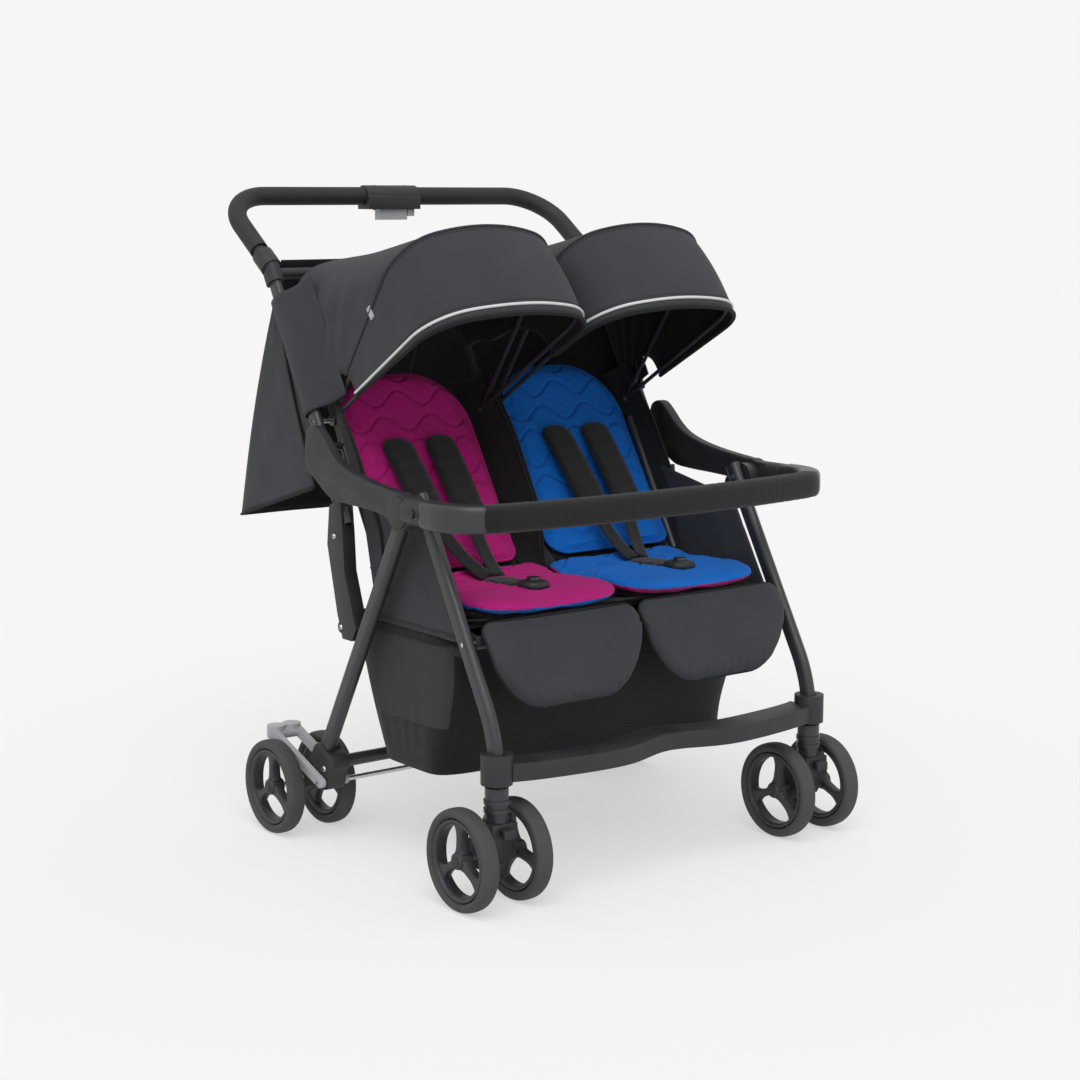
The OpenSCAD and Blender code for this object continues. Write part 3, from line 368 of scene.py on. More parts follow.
def build_weave_group():
    """Crossed threads with uneven yarn, as a height and a tint."""
    tree, src, out = node_group(
        "Woven threads",
        [("Vector", "NodeSocketVector", (0, 0, 0)), ("Scale", "NodeSocketFloat", 260.0)],
        [("Height", "NodeSocketFloat"), ("Tint", "NodeSocketFloat")])
    coords = src.outputs["Vector"]
    scale = src.outputs["Scale"]
    warp = wave_node(tree, coords, scale, "X")
    weft = wave_node(tree, coords, scale, "Z")
    depth = wave_node(tree, coords, scale, "Y")
    crossed = math_node(tree, "MULTIPLY", warp, weft)
    threads = math_node(tree, "MAXIMUM", crossed, math_node(tree, "MULTIPLY", depth, 0.7))
    yarn = noise_node(tree, coords, 900.0, 2.0)
    cloud = noise_node(tree, coords, 14.0, 4.0)
    height = math_node(tree, "ADD", threads, math_node(tree, "MULTIPLY", yarn, 0.5))
    fine = math_node(tree, "MULTIPLY", yarn, 0.6)
    tint = math_node(tree, "ADD", fine, math_node(tree, "MULTIPLY", cloud, 0.4))
    tree.links.new(height, out.inputs["Height"])
    tree.links.new(tint, out.inputs["Tint"])
    return tree


def build_grain_group():
    """Fine moulded grain with a few rubbed patches."""
    tree, src, out = node_group(
        "Moulded grain",
        [("Vector", "NodeSocketVector", (0, 0, 0)), ("Scale", "NodeSocketFloat", 600.0)],
        [("Height", "NodeSocketFloat"), ("Rub", "NodeSocketFloat")])
    coords = src.outputs["Vector"]
    cells = tree.nodes.new("ShaderNodeTexVoronoi")
    tree.links.new(coords, cells.inputs["Vector"])
    tree.links.new(src.outputs["Scale"], cells.inputs["Scale"])
    fine = noise_node(tree, coords, 1500.0, 2.0)
    patch = noise_node(tree, coords, 22.0, 5.0)
    height = math_node(tree, "ADD", cells.outputs["Distance"], math_node(tree, "MULTIPLY", fine, 0.6))
    tree.links.new(height, out.inputs["Height"])
    tree.links.new(patch, out.inputs["Rub"])
    return tree


GROUPS = {}


def shared_group(kind):
    if kind not in GROUPS:
        GROUPS[kind] = build_weave_group() if kind == "weave" else build_grain_group()
    return GROUPS[kind]


def place_group(tree, kind, coords, scale):
    n = tree.nodes.new("ShaderNodeGroup")
    n.node_tree = shared_group(kind)
    n.inputs["Scale"].default_value = scale
    tree.links.new(coords, n.inputs["Vector"])
    return n


def ramp(tree, value, stops):
    n = tree.nodes.new("ShaderNodeValToRGB")
    elements = n.color_ramp.elements
    while len(elements) < len(stops):
        elements.new(0.5)
    for e, (at, colour) in zip(elements, stops):
        e.position = at
        e.color = (*colour, 1.0)
    tree.links.new(value, n.inputs["Fac"])
    return n.outputs["Color"]


def value_ramp(tree, value, low, high, out_low, out_high):
    n = tree.nodes.new("ShaderNodeMapRange")
    n.inputs["From Min"].default_value = low
    n.inputs["From Max"].default_value = high
    n.inputs["To Min"].default_value = out_low
    n.inputs["To Max"].default_value = out_high
    tree.links.new(value, n.inputs["Value"])
    return n.outputs["Result"]


def faded(tree, factor, tint, colour):
    """Fades a tint to a plain colour by a factor."""
    n = tree.nodes.new("ShaderNodeMix")
    n.data_type = "RGBA"
    tree.links.new(factor, n.inputs[0])
    tree.links.new(tint, n.inputs[6])
    n.inputs[7].default_value = (*colour, 1.0)
    return n.outputs[2]


def bare_material(name):
    mat = bpy.data.materials.new(name)
    mat.use_nodes = True
    tree = mat.node_tree
    shader = tree.nodes["Principled BSDF"]
    coords = tree.nodes.new("ShaderNodeTexCoord").outputs["Object"]
    return mat, tree, shader, coords


def add_bump(tree, shader, height, strength, distance):
    n = tree.nodes.new("ShaderNodeBump")
    n.inputs["Strength"].default_value = strength
    n.inputs["Distance"].default_value = distance
    tree.links.new(height, n.inputs["Height"])
    tree.links.new(n.outputs["Normal"], shader.inputs["Normal"])


def shade(colour, factor):
    return tuple(min(1.0, c * factor) for c in colour)


def two_tones(colour, contrast, low, high):
    """Stops of a ramp from a darker to a lighter tone of one colour."""
    return [(low, shade(colour, 1 - contrast)), (high, shade(colour, 1 + contrast))]


def cloth_material(name, colour, scale, contrast, rough=0.85, sheen=0.06, depth=0.0006, groove=0.0):
    """Woven cloth; where a groove attribute marks its sewn channels, shade is painted into its colour."""
    mat, tree, shader, coords = bare_material(name)
    weave = place_group(tree, "weave", coords, scale)
    threads = weave.outputs["Tint"]
    tint = ramp(tree, threads, two_tones(colour, contrast, 0.30, 0.70))
    # Painted shade: in the marked channels the colour is darkened towards a third of itself.
    if groove:
        attr = tree.nodes.new("ShaderNodeAttribute")
        attr.attribute_name = "groove"
        channel_shade = math_node(tree, "MULTIPLY", attr.outputs["Fac"], groove)
        tint = faded(tree, channel_shade, tint, shade(colour, 0.35))
    tree.links.new(tint, shader.inputs["Base Color"])
    dull = value_ramp(tree, threads, 0.3, 0.7, rough - 0.08, rough + 0.08)
    tree.links.new(dull, shader.inputs["Roughness"])
    shader.inputs["Specular IOR Level"].default_value = 0.22
    shader.inputs["Sheen Weight"].default_value = sheen
    shader.inputs["Sheen Roughness"].default_value = 0.5
    add_bump(tree, shader, weave.outputs["Height"], 0.5, depth)
    return mat


def moulded_material(name, colour, rough=0.5, scale=600.0, strength=0.25, contrast=0.18, coat=0.0):
    """Moulded plastic, foam or paint with a fine grain."""
    mat, tree, shader, coords = bare_material(name)
    grain = place_group(tree, "grain", coords, scale)
    rub = grain.outputs["Rub"]
    tint = ramp(tree, rub, two_tones(colour, contrast, 0.35, 0.70))
    tree.links.new(tint, shader.inputs["Base Color"])
    tree.links.new(value_ramp(tree, rub, 0.3, 0.7, rough - 0.07, rough + 0.09), shader.inputs["Roughness"])
    shader.inputs["Coat Weight"].default_value = coat
    add_bump(tree, shader, grain.outputs["Height"], strength, 0.0004)
    return mat


def metal_material(name, colour, rough, scratch=140.0):
    """Bright metal with fine upright scratches."""
    mat, tree, shader, coords = bare_material(name)
    stretch = tree.nodes.new("ShaderNodeMapping")
    stretch.inputs["Scale"].default_value = (1.0, 1.0, 9.0)
    tree.links.new(coords, stretch.inputs["Vector"])
    lines = noise_node(tree, stretch.outputs["Vector"], scratch, 4.0)
    tint = ramp(tree, lines, [(0.3, shade(colour, 0.85)), (0.7, shade(colour, 1.12))])
    tree.links.new(tint, shader.inputs["Base Color"])
    tree.links.new(value_ramp(tree, lines, 0.3, 0.7, rough - 0.05, rough + 0.1), shader.inputs["Roughness"])
    shader.inputs["Metallic"].default_value = 1.0
    add_bump(tree, shader, lines, 0.08, 0.0003)
    return mat


# Sizes and colours a user would change

def slot_colour(name):
    for m in frame["record"]["materials"]:
        if m["slot"] == name:
            return tuple(m["base_color"][:3])
    raise KeyError(name)


class StrollerColours(PropertyGroup):
    """Colours of the cloth, webbing, paint and floor."""
    canopy: FloatVectorProperty(
        name="Canopy cloth", description="Charcoal cloth of hoods, calf rests and panels",
        subtype="COLOR", size=3, default=slot_colour("canopy_cloth"))
    left: FloatVectorProperty(
        name="Left liner", description="Face of the left liner",
        subtype="COLOR", size=3, default=(0.50, 0.012, 0.20))
    right: FloatVectorProperty(
        name="Right liner", description="Face of the right liner",
        subtype="COLOR", size=3, default=(0.004, 0.15, 0.60))
    webbing: FloatVectorProperty(
        name="Webbing", description="Harness pads and straps",
        subtype="COLOR", size=3, default=slot_colour("webbing"))
    frame: FloatVectorProperty(
        name="Frame", description="Paint on the tubes",
        subtype="COLOR", size=3, default=slot_colour("frame"))
    floor: FloatVectorProperty(
        name="Floor", description="Pale floor and backdrop",
        subtype="COLOR", size=3, default=(0.922, 0.922, 0.922))


class StrollerSizes(PropertyGroup):
    """Sizes of the soft goods and fasteners."""
    quilt_pitch: FloatProperty(
        name="Quilt pitch", description="Distance between sewn lines",
        default=0.042, min=0.015, max=0.08, subtype="DISTANCE", unit="LENGTH")
    quilt_depth: FloatProperty(
        name="Quilt depth", description="Depth of a sewn channel",
        default=0.0030, min=0.0, max=0.008, subtype="DISTANCE", unit="LENGTH")
    cloth: FloatProperty(
        name="Cloth thickness", description="Thickness of the canopy cloth",
        default=0.0018, min=0.0005, max=0.004, subtype="DISTANCE", unit="LENGTH")
    swell: FloatProperty(
        name="Pad swell", description="Most that a pad swells when it is filled",
        default=0.006, min=0.0, max=0.02, subtype="DISTANCE", unit="LENGTH")
    stitch: FloatProperty(
        name="Stitch length", description="Length of one stitch",
        default=0.0042, min=0.002, max=0.01, subtype="DISTANCE", unit="LENGTH")
    screws: IntProperty(
        name="Screw sides", description="Facets round a screw head",
        default=20, min=8, max=48)


def colours():
    return bpy.context.scene.stroller_colours


def sizes():
    return bpy.context.scene.stroller_sizes


FINISHES = {}


def finish(name):
    """The named finish, made once."""
    if name not in FINISHES:
        FINISHES[name] = FINISH_MAKERS[name]()
    return FINISHES[name]


def net_material():
    """Open net of crossed threads, grey on black."""
    mat, tree, shader, coords = bare_material("Grey net")
    turned = tree.nodes.new("ShaderNodeMapping")
    turned.inputs["Rotation"].default_value = (math.radians(45), 0.0, 0.0)
    tree.links.new(coords, turned.inputs["Vector"])
    rows = tree.nodes.new("ShaderNodeTexWave")
    rows.bands_direction = "Y"
    rows.inputs["Scale"].default_value = 150.0
    rows.inputs["Distortion"].default_value = 1.2
    rows.inputs["Detail Scale"].default_value = 3.0
    cols = tree.nodes.new("ShaderNodeTexWave")
    cols.bands_direction = "Z"
    cols.inputs["Scale"].default_value = 150.0
    cols.inputs["Distortion"].default_value = 1.2
    for n in (rows, cols):
        tree.links.new(turned.outputs["Vector"], n.inputs["Vector"])
    threads = math_node(tree, "MULTIPLY", rows.outputs["Fac"], cols.outputs["Fac"])
    tree.links.new(ramp(tree, threads, [(0.22, (0.012, 0.012, 0.013)), (0.50, (0.085, 0.085, 0.09))]),
                   shader.inputs["Base Color"])
    tree.links.new(value_ramp(tree, threads, 0.2, 0.5, 0.9, 0.6), shader.inputs["Roughness"])
    add_bump(tree, shader, threads, 0.7, 0.001)
    return mat


BLACK = (0.010, 0.010, 0.011)
INSIDE = (0.0065, 0.0065, 0.007)
TAPE = (0.012, 0.012, 0.013)
THREAD = (0.022, 0.022, 0.024)
WHITE = (0.72, 0.73, 0.74)
MATT = (0.017, 0.018, 0.020)
SATIN = (0.028, 0.029, 0.032)
HUB_GREY = (0.030, 0.031, 0.034)
TYRE_GREY = (0.052, 0.052, 0.054)
FOAM = (0.014, 0.014, 0.015)
GLOSS = (0.03, 0.031, 0.034)
ZINC = (0.62, 0.62, 0.63)

FINISH_MAKERS = {
    "canopy": lambda: cloth_material("Charcoal canopy cloth", tuple(colours().canopy), 240, 0.22),
    "lining": lambda: cloth_material("Black hood lining", INSIDE, 240, 0.3, sheen=0.1),
    "black_cloth": lambda: cloth_material("Black pack cloth", BLACK, 200, 0.3, sheen=0.15),
    # groove sets how much shade is painted into the liners' quilted channels.
    "liner_left": lambda: cloth_material("Magenta quilted cloth", tuple(colours().left), 320, 0.16,
                                         sheen=0.05, groove=0.32),
    "liner_right": lambda: cloth_material("Blue quilted cloth", tuple(colours().right), 320, 0.16,
                                          sheen=0.05, groove=0.32),
    "webbing": lambda: cloth_material("Black webbing", tuple(colours().webbing), 300, 0.4,
                                      sheen=0.2, depth=0.0008),
    "binding": lambda: cloth_material("Black edge tape", TAPE, 420, 0.3),
    "piping": lambda: cloth_material("White reflective piping", WHITE, 500, 0.06, rough=0.45, sheen=0.0),
    "thread": lambda: cloth_material("Dark thread", THREAD, 900, 0.2, rough=0.6, sheen=0.0),
    "net": net_material,
    "paint": lambda: moulded_material("Satin black paint", tuple(colours().frame), rough=0.38, scale=900,
                                      strength=0.06, contrast=0.10),
    "plastic": lambda: moulded_material("Matt black moulding", MATT, rough=0.55, strength=0.22),
    "satin": lambda: moulded_material("Satin dark moulding", SATIN, rough=0.36, strength=0.1, contrast=0.1),
    "hub": lambda: moulded_material("Dark grey hub moulding", HUB_GREY, rough=0.52, strength=0.2),
    "tyre": lambda: moulded_material("Grey black tyre foam", TYRE_GREY, rough=0.75, scale=420, strength=0.3),
    "grey": lambda: moulded_material("Light grey moulding", slot_colour("grey_plastic"), rough=0.45,
                                     strength=0.12, contrast=0.06),
    "grip": lambda: moulded_material("Black grip foam", FOAM, rough=0.7, scale=380, strength=0.5),
    "steel": lambda: metal_material("Bright zinc", ZINC, 0.3),
    "button": lambda: moulded_material("Gloss dark button", GLOSS, rough=0.25, strength=0.05, coat=0.3),
}


# Soft pads

class Plane:
    """A flat place with its own across, along and out directions, in millimetres."""

    def __init__(self, origin, along, out):
        self.origin = Vector(origin)
        self.along = Vector(along).normalized()
        self.out = Vector(out).normalized()

    def at(self, x, v, h):
        p = self.origin + self.along * (v * MM) + self.out * (h * MM)
        return Vector((x * MM, p.y, p.z))

    def local(self, p):
        d = Vector((0, p.y, p.z)) - Vector((0, self.origin.y, self.origin.z))
        return p.x / MM, d.dot(self.along) / MM, d.dot(self.out) / MM


SEAT_SLOPE = math.radians(2.5)
SEAT_PLANE = Plane(SEAT_FRONT + Vector((0, 0, 0.0426)), (0, math.cos(SEAT_SLOPE), -math.sin(SEAT_SLOPE)),
                   (0, math.sin(SEAT_SLOPE), math.cos(SEAT_SLOPE)))
BACK_PLANE = Plane(CREASE, (0, math.sin(LEAN), math.cos(LEAN)), (0, -math.cos(LEAN), math.sin(LEAN)))
CALF_LEAN = math.radians(12)
CALF_PLANE = Plane(SEAT_FRONT + Vector((0, -0.011, 0.032)), (0, -math.sin(CALF_LEAN), -math.cos(CALF_LEAN)),
                   (0, -math.cos(CALF_LEAN), math.sin(CALF_LEAN)))
SHOULDER_TILT = math.radians(12) + LEAN
SHOULDER_PLANE = Plane(BACK_PLANE.at(0, 236, -2.2), (0, -math.sin(SHOULDER_TILT), -math.cos(SHOULDER_TILT)),
                       (0, -math.cos(SHOULDER_TILT), math.sin(SHOULDER_TILT)))


class PadShape:
    """Outline of a pad: a rectangle with its own corner radius at each end, in millimetres."""

    def __init__(self, centre, width, start, length, near_r, far_r):
        self.centre = centre
        self.half = width / 2
        self.start = start
        self.length = length
        self.near_r = near_r
        self.far_r = far_r

    def half_at(self, v):
        """Half width at a distance v from the start."""
        near = self.near_r - v
        far = v - (self.length - self.far_r)
        if near > 0:
            return self.half - self.near_r + math.sqrt(max(0.0, self.near_r ** 2 - near ** 2))
        if far > 0:
            return self.half - self.far_r + math.sqrt(max(0.0, self.far_r ** 2 - far ** 2))
        return self.half

    def inset(self, x, v):
        """How far a point lies inside the outline."""
        r = self.near_r if v < self.length / 2 else self.far_r
        qx = abs(x) - (self.half - r)
        qv = abs(v - self.length / 2) - (self.length / 2 - r)
        return r - math.hypot(max(qx, 0.0), max(qv, 0.0)) - min(max(qx, qv), 0.0)

    def outline(self, inset, steps=14):
        """Points round the outline, moved in by inset."""
        pts = []
        for end, r in ((-1, self.near_r), (1, self.far_r)):
            for side in (-end, end):
                for i in range(steps + 1):
                    a = math.pi / 2 * i / steps
                    c, s = (math.cos(a), math.sin(a)) if side == end else (math.sin(a), math.cos(a))
                    x = side * (self.half - r + (r - inset) * s)
                    v = self.length / 2 + end * (self.length / 2 - r + (r - inset) * c)
                    pts.append((x, v))
        return pts


def level(x, v):
    return 0.0


def eased(t):
    """A share along a pad, drawn closer to both ends."""
    return mix(t, (1 - math.cos(math.pi * t)) / 2, 0.5)


def rim_roll(inset, radius):
    """Share of its full height that a pad has at a distance inset from its rim."""
    d = min(1.0, max(0.0, inset) / radius)
    return math.sqrt(1 - (1 - d) ** 2)


def closed_pad(name, top, under, rows, cols):
    """Closes a pad from the points of its upper and under side."""
    n = len(top)
    faces = grid_faces(rows + 1, cols + 1)
    faces += [tuple(n + i for i in reversed(f)) for f in faces]
    return outward(mesh_object(name, top + under, faces))


def pad_object(name, plane, shape, thick, step, form=level, swell=level, edge=0.6):
    """A closed crowned pad on a plane, rounded at its rim; form bends it and swell adds to its upper side."""
    rows = max(12, int(shape.length / step))
    cols = max(12, int(2 * shape.half / step))
    top = []
    under = []
    for r in range(rows + 1):
        v = shape.length * eased(r / rows)
        wide = shape.half_at(v)
        for c in range(cols + 1):
            s = -1 + 2 * c / cols
            x = wide * mix(s, math.sin(math.pi / 2 * s), 0.5)
            roll = rim_roll(shape.inset(x, v), thick * edge)
            crown = 0.86 + 0.14 * (1 - (x / shape.half) ** 2)
            base = form(x, v)
            high = base + thick * (0.5 + 0.5 * roll * crown) + swell(x, v) * roll
            low = base + thick * 0.5 * (1 - roll)
            top.append(plane.at(shape.centre + x, shape.start + v, high))
            under.append(plane.at(shape.centre + x, shape.start + v, low))
    return closed_pad(name, top, under, rows, cols)


def reach_on(obj, plane):
    """Lowest and highest place of a pad across and along its plane."""
    spots = [plane.local(v.co) for v in obj.data.vertices]
    return [(min(s[i] for s in spots), max(s[i] for s in spots)) for i in (0, 1)]


def fitted_to(obj, plane, reach):
    """Brings a pad back to the width and length that it was cut to."""
    now = reach_on(obj, plane)
    for vert in obj.data.vertices:
        x, v, h = plane.local(vert.co)
        x = mix(reach[0][0], reach[0][1], (x - now[0][0]) / (now[0][1] - now[0][0]))
        v = mix(reach[1][0], reach[1][1], (v - now[1][0]) / (now[1][1] - now[1][0]))
        vert.co = plane.at(x, v, h)


FILL_FRAMES = 20
FILL_PRESSURE = 4.0


def inflated(obj, plane, cap, voxel):
    """Fills a pad: remeshed, swollen as cloth under pressure by cap at most, and kept to its cut size."""
    cut = reach_on(obj, plane)
    mod = obj.modifiers.new("Remesh", "REMESH")
    mod.mode = "VOXEL"
    mod.voxel_size = voxel
    apply_modifiers(obj)
    rest = [v.co.copy() for v in obj.data.vertices]
    cloth = obj.modifiers.new("Fill", "CLOTH")
    cloth.settings.quality = 5
    cloth.settings.mass = 0.2
    cloth.settings.tension_stiffness = 12
    cloth.settings.compression_stiffness = 12
    cloth.settings.shear_stiffness = 5
    cloth.settings.bending_stiffness = 0.6
    cloth.settings.use_pressure = True
    cloth.settings.uniform_pressure_force = FILL_PRESSURE
    cloth.settings.effector_weights.gravity = 0
    cloth.point_cache.frame_start = 1
    cloth.point_cache.frame_end = FILL_FRAMES
    for step in range(1, FILL_FRAMES + 1):
        bpy.context.scene.frame_set(step)
    apply_modifiers(obj)
    bpy.context.scene.frame_set(1)
    for v, p in zip(obj.data.vertices, rest):
        move = v.co - p
        if move.length > cap:
            v.co = p + move * (cap / move.length)
    shade_smooth(obj.data)
    subdivided(obj, 1)
    fitted_to(obj, plane, cut)
    return obj


def quilt_share(x, v, pitch, period, sway):
    """1 on a sewn line and 0 between: zig-zag lines across, every other one shifted by half a period."""
    near = pitch
    first = math.floor(v / pitch) - 1
    for n in range(first, first + 4):
        phase = x / period + 0.5 * (n % 2) + 0.08 * math.sin(2.1 * n)
        zigzag = 4 * abs(phase - math.floor(phase + 0.5)) - 1
        line = n * pitch + sway * math.sin(math.pi / 2 * zigzag)
        near = min(near, abs(v - line))
    return math.exp(-(near / 2.4) ** 2)


def quilted(obj, plane, shape, from_v=0.0):
    """Sews zig-zag channels into the upper side of a pad past from_v and marks them for its material, which paints
    shade into them.
    """
    pitch = sizes().quilt_pitch / MM
    depth = sizes().quilt_depth
    marks = []
    obj.data.update()
    normals = [v.normal.copy() for v in obj.data.vertices]
    for vert, normal in zip(obj.data.vertices, normals):
        x, v, _ = plane.local(vert.co)
        x -= shape.centre
        v -= shape.start
        upper = smooth((normal.dot(plane.out) - 0.2) / 0.5)
        inner = smooth(shape.inset(x, v) / 14.0) * smooth((v - from_v) / 30.0)
        share = quilt_share(x, v, pitch, pitch * 2.1, pitch * 0.30) * upper * inner
        pucker = 0.0005 * math.sin(0.31 * x + 0.17 * v) * math.sin(0.09 * x - 0.27 * v) * upper
        vert.co += normal * (pucker - depth * share)
        marks.append(share)
    # These marks tell the liner cloth where to paint shade into the channels.
    set_attribute(obj, "groove", marks)
    obj.data.update()
    return obj


def two_faced(obj, plane, shape, form, face, reverse):
    """One cloth on the upper side of a liner and another below its rim."""
    obj.data.materials.append(face)
    obj.data.materials.append(reverse)
    for p in obj.data.polygons:
        x, v, h = plane.local(p.center)
        below = h < form(x - shape.centre, v - shape.start) + LINER_T * 0.44
        p.material_index = 1 if below and p.normal.dot(plane.out) < 0.5 else 0
    return obj


def edge_binding(name, plane, shape, form, height, radius, inset, sides=8):
    """A rounded binding or piping along the edge of a pad."""
    path = [plane.at(shape.centre + x, shape.start + v, height + form(x, v)) for x, v in shape.outline(inset)]
    clean = [p for i, p in enumerate(path) if (p - path[i - 1]).length > 1e-5]
    n = len(clean)
    rows = []
    for i, p in enumerate(clean):
        t = (clean[(i + 1) % n] - clean[i - 1]).normalized()
        side = t.cross(plane.out).normalized()
        up = side.cross(t)
        rows.append([p + (side * math.cos(a) + up * math.sin(a)) * radius * MM
                     for a in (2 * math.pi * j / sides for j in range(sides))])
    return outward(grid_object(name, rows, wrap_rows=True, wrap_cols=True))


# Seats and backs

SEAT_X = 143.0
BACK_X = 156.0
LINER_T = 13.0
BOARD_LIP = 7.0
BOARD_SET = 13.0
BOARD_KNEE = 50.0
BOARD_TILT = math.tan(math.radians(1.0))
BASE_DROP = 14.5
THIN_CLOTH = 0.0016


def board_line(e):
    """Front of a backrest board, out from the back's own plane at a distance e above the crease."""
    def bare(at):
        if at < BOARD_KNEE:
            return mix(BOARD_LIP, -BOARD_SET, (at - 5) / (BOARD_KNEE - 5))
        return -BOARD_SET - (at - BOARD_KNEE) * BOARD_TILT
    return (bare(e - 14) + 2 * bare(e) + bare(e + 14)) / 4


def seat_form(x, v):
    """A seat liner droops over the front edge and rises into the crease."""
    droop = 10 * smooth((66 - v) / 66) * (1 - 0.6 * (x / 134) ** 2)
    return 15 * smooth((v - 168) / 58) - droop


def seat_shape(side):
    return PadShape(side * 139.5, width=268, start=-5, length=227, near_r=62, far_r=22)


def back_shape(side):
    return PadShape(side * BACK_X, width=246, start=14, length=338, near_r=30, far_r=100)


def back_form(x, v):
    return board_line(v + 14) + 0.6


def back_swell(x, v):
    """A back liner stands out at the small of the back and lies flat under the head."""
    return 4 * bump(v, 106, 48) - 4.5 * bump(v, 254, 40)


def slot_of(name):
    return "liner_magenta" if name == "left" else "liner_blue"


def other_of(name):
    return "liner_right" if name == "left" else "liner_left"


def sling_form(x, v):
    """The cloth under both seats hangs below them and rises to the crease."""
    return -18 + 26 * smooth((v - 150) / 58) - 5 * math.sin(math.pi * v / 208)


class STROLLER_OT_seats(Operator):
    """Seat bases and the quilted seat halves of the liners"""
    bl_idname = "stroller.seats"
    bl_label = "Seats"

    def execute(self, context):
        bases = []
        for name, side in SIDES:
            cut = PadShape(side * SEAT_X, width=248, start=29, length=160, near_r=24, far_r=14)
            base = pad_object("base", SEAT_PLANE, cut, thick=13, step=8, form=lambda x, v: -BASE_DROP)
            inflated(base, SEAT_PLANE, cap=0.003, voxel=0.006)
            bases += in_finish("black_cloth", base)
            shape = seat_shape(side)
            pad = pad_object("seat_liner_" + name + "_pad", SEAT_PLANE, shape, LINER_T, 3.2, form=seat_form)
            inflated(pad, SEAT_PLANE, sizes().swell, voxel=0.005)
            quilted(pad, SEAT_PLANE, shape, from_v=60.0)
            two_faced(pad, SEAT_PLANE, shape, seat_form, finish("liner_" + name), finish(other_of(name)))
            dress(pad, None, "seat", slot_of(name), "seat_liner_" + name)
        cut = PadShape(0, width=536, start=24, length=208, near_r=12, far_r=10)
        sling = pad_object("sling", SEAT_PLANE, cut, thick=3, step=8, form=sling_form)
        bases += in_finish("black_cloth", sling)
        seat = joined("seat_base_pads", bases)
        dress(seat, None, "seat", "canopy_cloth", "seat_base")
        return {"FINISHED"}


class STROLLER_OT_backs(Operator):
    """Backrests with their quilted liner halves"""
    bl_idname = "stroller.backs"
    bl_label = "Backrests"

    def execute(self, context):
        for name, side in SIDES:
            cut = PadShape(side * BACK_X, width=240, start=6, length=345, near_r=14, far_r=96)
            board = pad_object("backrest_" + name + "_pad", BACK_PLANE, cut, thick=9.5, step=7,
                               form=lambda x, v: board_line(v + 6) - 10)
            inflated(board, BACK_PLANE, cap=0.002, voxel=0.006)
            dress(board, finish("black_cloth"), "back_" + name, "canopy_cloth", "backrest_" + name)
            shape = back_shape(side)
            pad = pad_object("back_liner_" + name + "_pad", BACK_PLANE, shape, LINER_T, 3.2, form=back_form,
                             swell=back_swell)
            inflated(pad, BACK_PLANE, sizes().swell, voxel=0.005)
            quilted(pad, BACK_PLANE, shape)
            two_faced(pad, BACK_PLANE, shape, back_form, finish("liner_" + name), finish("liner_" + name))
            dress(pad, None, "back_" + name, slot_of(name), "back_liner_" + name)
            hem = edge_binding("back_liner_" + name + "_hem", BACK_PLANE, shape, back_form,
                               height=LINER_T * 0.5, radius=2.4, inset=1.0)
            dress(hem, finish("liner_" + name), "back_" + name, slot_of(name))
        return {"FINISHED"}


# Each side wing: its place, the X of the board's edge and of its ridge, and the ridge's height.
WINGS = (("outer", BACK_X + 121, 296.0, 44.0), ("inner", BACK_X - 121, 3.0, 46.0))
WING_LOW = -14.0
WING_HIGH = 334.0


def wing_rows(x_edge, x_ridge, ridge):
    """Rows of a side wing from the board's edge out to a taped ridge, up along the back."""
    rows = []
    count = 30
    for r in range(count + 1):
        t = r / count
        e = mix(WING_LOW, WING_HIGH, t)
        high = ridge * (0.3 + 0.7 * smooth(t / 0.3)) * (1 - 0.35 * smooth((t - 0.6) / 0.4))
        base = board_line(e) - 5
        line = []
        for c in range(13):
            s = c / 12
            fold = 1.6 * math.sin(5 * math.pi * t + 4 * s) * math.sin(math.pi * s)
            line.append(BACK_PLANE.at(mix(x_edge, x_ridge, s ** 0.8), e, mix(base, high, s ** 1.5) + fold))
        rows.append(line)
    return rows


class STROLLER_OT_wings(Operator):
    """Black side wings, gussets from the frame to each backrest, and the cloth behind both seats"""
    bl_idname = "stroller.wings"
    bl_label = "Side wings"

    def execute(self, context):
        for name, side in SIDES:
            for place, x_edge, x_ridge, ridge in WINGS:
                rows = wing_rows(side * x_edge, side * x_ridge, ridge)
                sheet = grid_object("wing_" + name + "_" + place, rows)
                thickened(sheet, THIN_CLOTH, 0.0)
                tape = swept("tape", [row[-1] for row in rows], round_section(0.0023))
                pieces = in_finish("black_cloth", sheet) + in_finish("binding", tape)
                wing = joined("wing_" + name + "_" + place + "_cloth", pieces)
                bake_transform(wing)
        self.crease()
        return {"FINISHED"}

    def crease(self):
        """The cloth across the back frame's foot, behind both seats."""
        half, low, high = 268, -20, 52
        rows = []
        for r in range(13):
            e = mix(low, high, r / 12)
            line = []
            for x in range(-half, half + 1, 8):
                fold = 1.2 * math.sin(0.11 * x) * math.sin(math.pi * r / 12)
                line.append(BACK_PLANE.at(x, e, -24 - 0.62 * max(0.0, e) + fold))
            rows.append(line)
        sheet = grid_object("crease_cloth", rows)
        thickened(sheet, THIN_CLOTH, 0.0)
        dress(sheet, finish("black_cloth"), "handle", "canopy_cloth")


CALF_X = 144.5
CALF_WIDE = 285.0
CALF_LONG = 131.0
# The hinge eye's section, as (radius, across) pairs.
CALF_EYE = [(0.0102, -0.008), (0.0102, 0.008), (0.0135, 0.0072), (0.0135, -0.0072)]


def calf_shape(side):
    return PadShape(side * CALF_X, CALF_WIDE, start=3, length=CALF_LONG, near_r=22, far_r=84)


def calf_form(x, v):
    """The calf rest's top edge rolls back under the seat."""
    return -14 * (1 - smooth(v / 40))


def calf_seam(x):
    """How far down the seam runs under the top edge."""
    return 36 - 10 * (2 * x / CALF_WIDE) ** 2


def calf_share(v):
    """Share of its top width that the calf rest has further down."""
    return 1.0 - 0.10 * smooth(v / CALF_LONG)


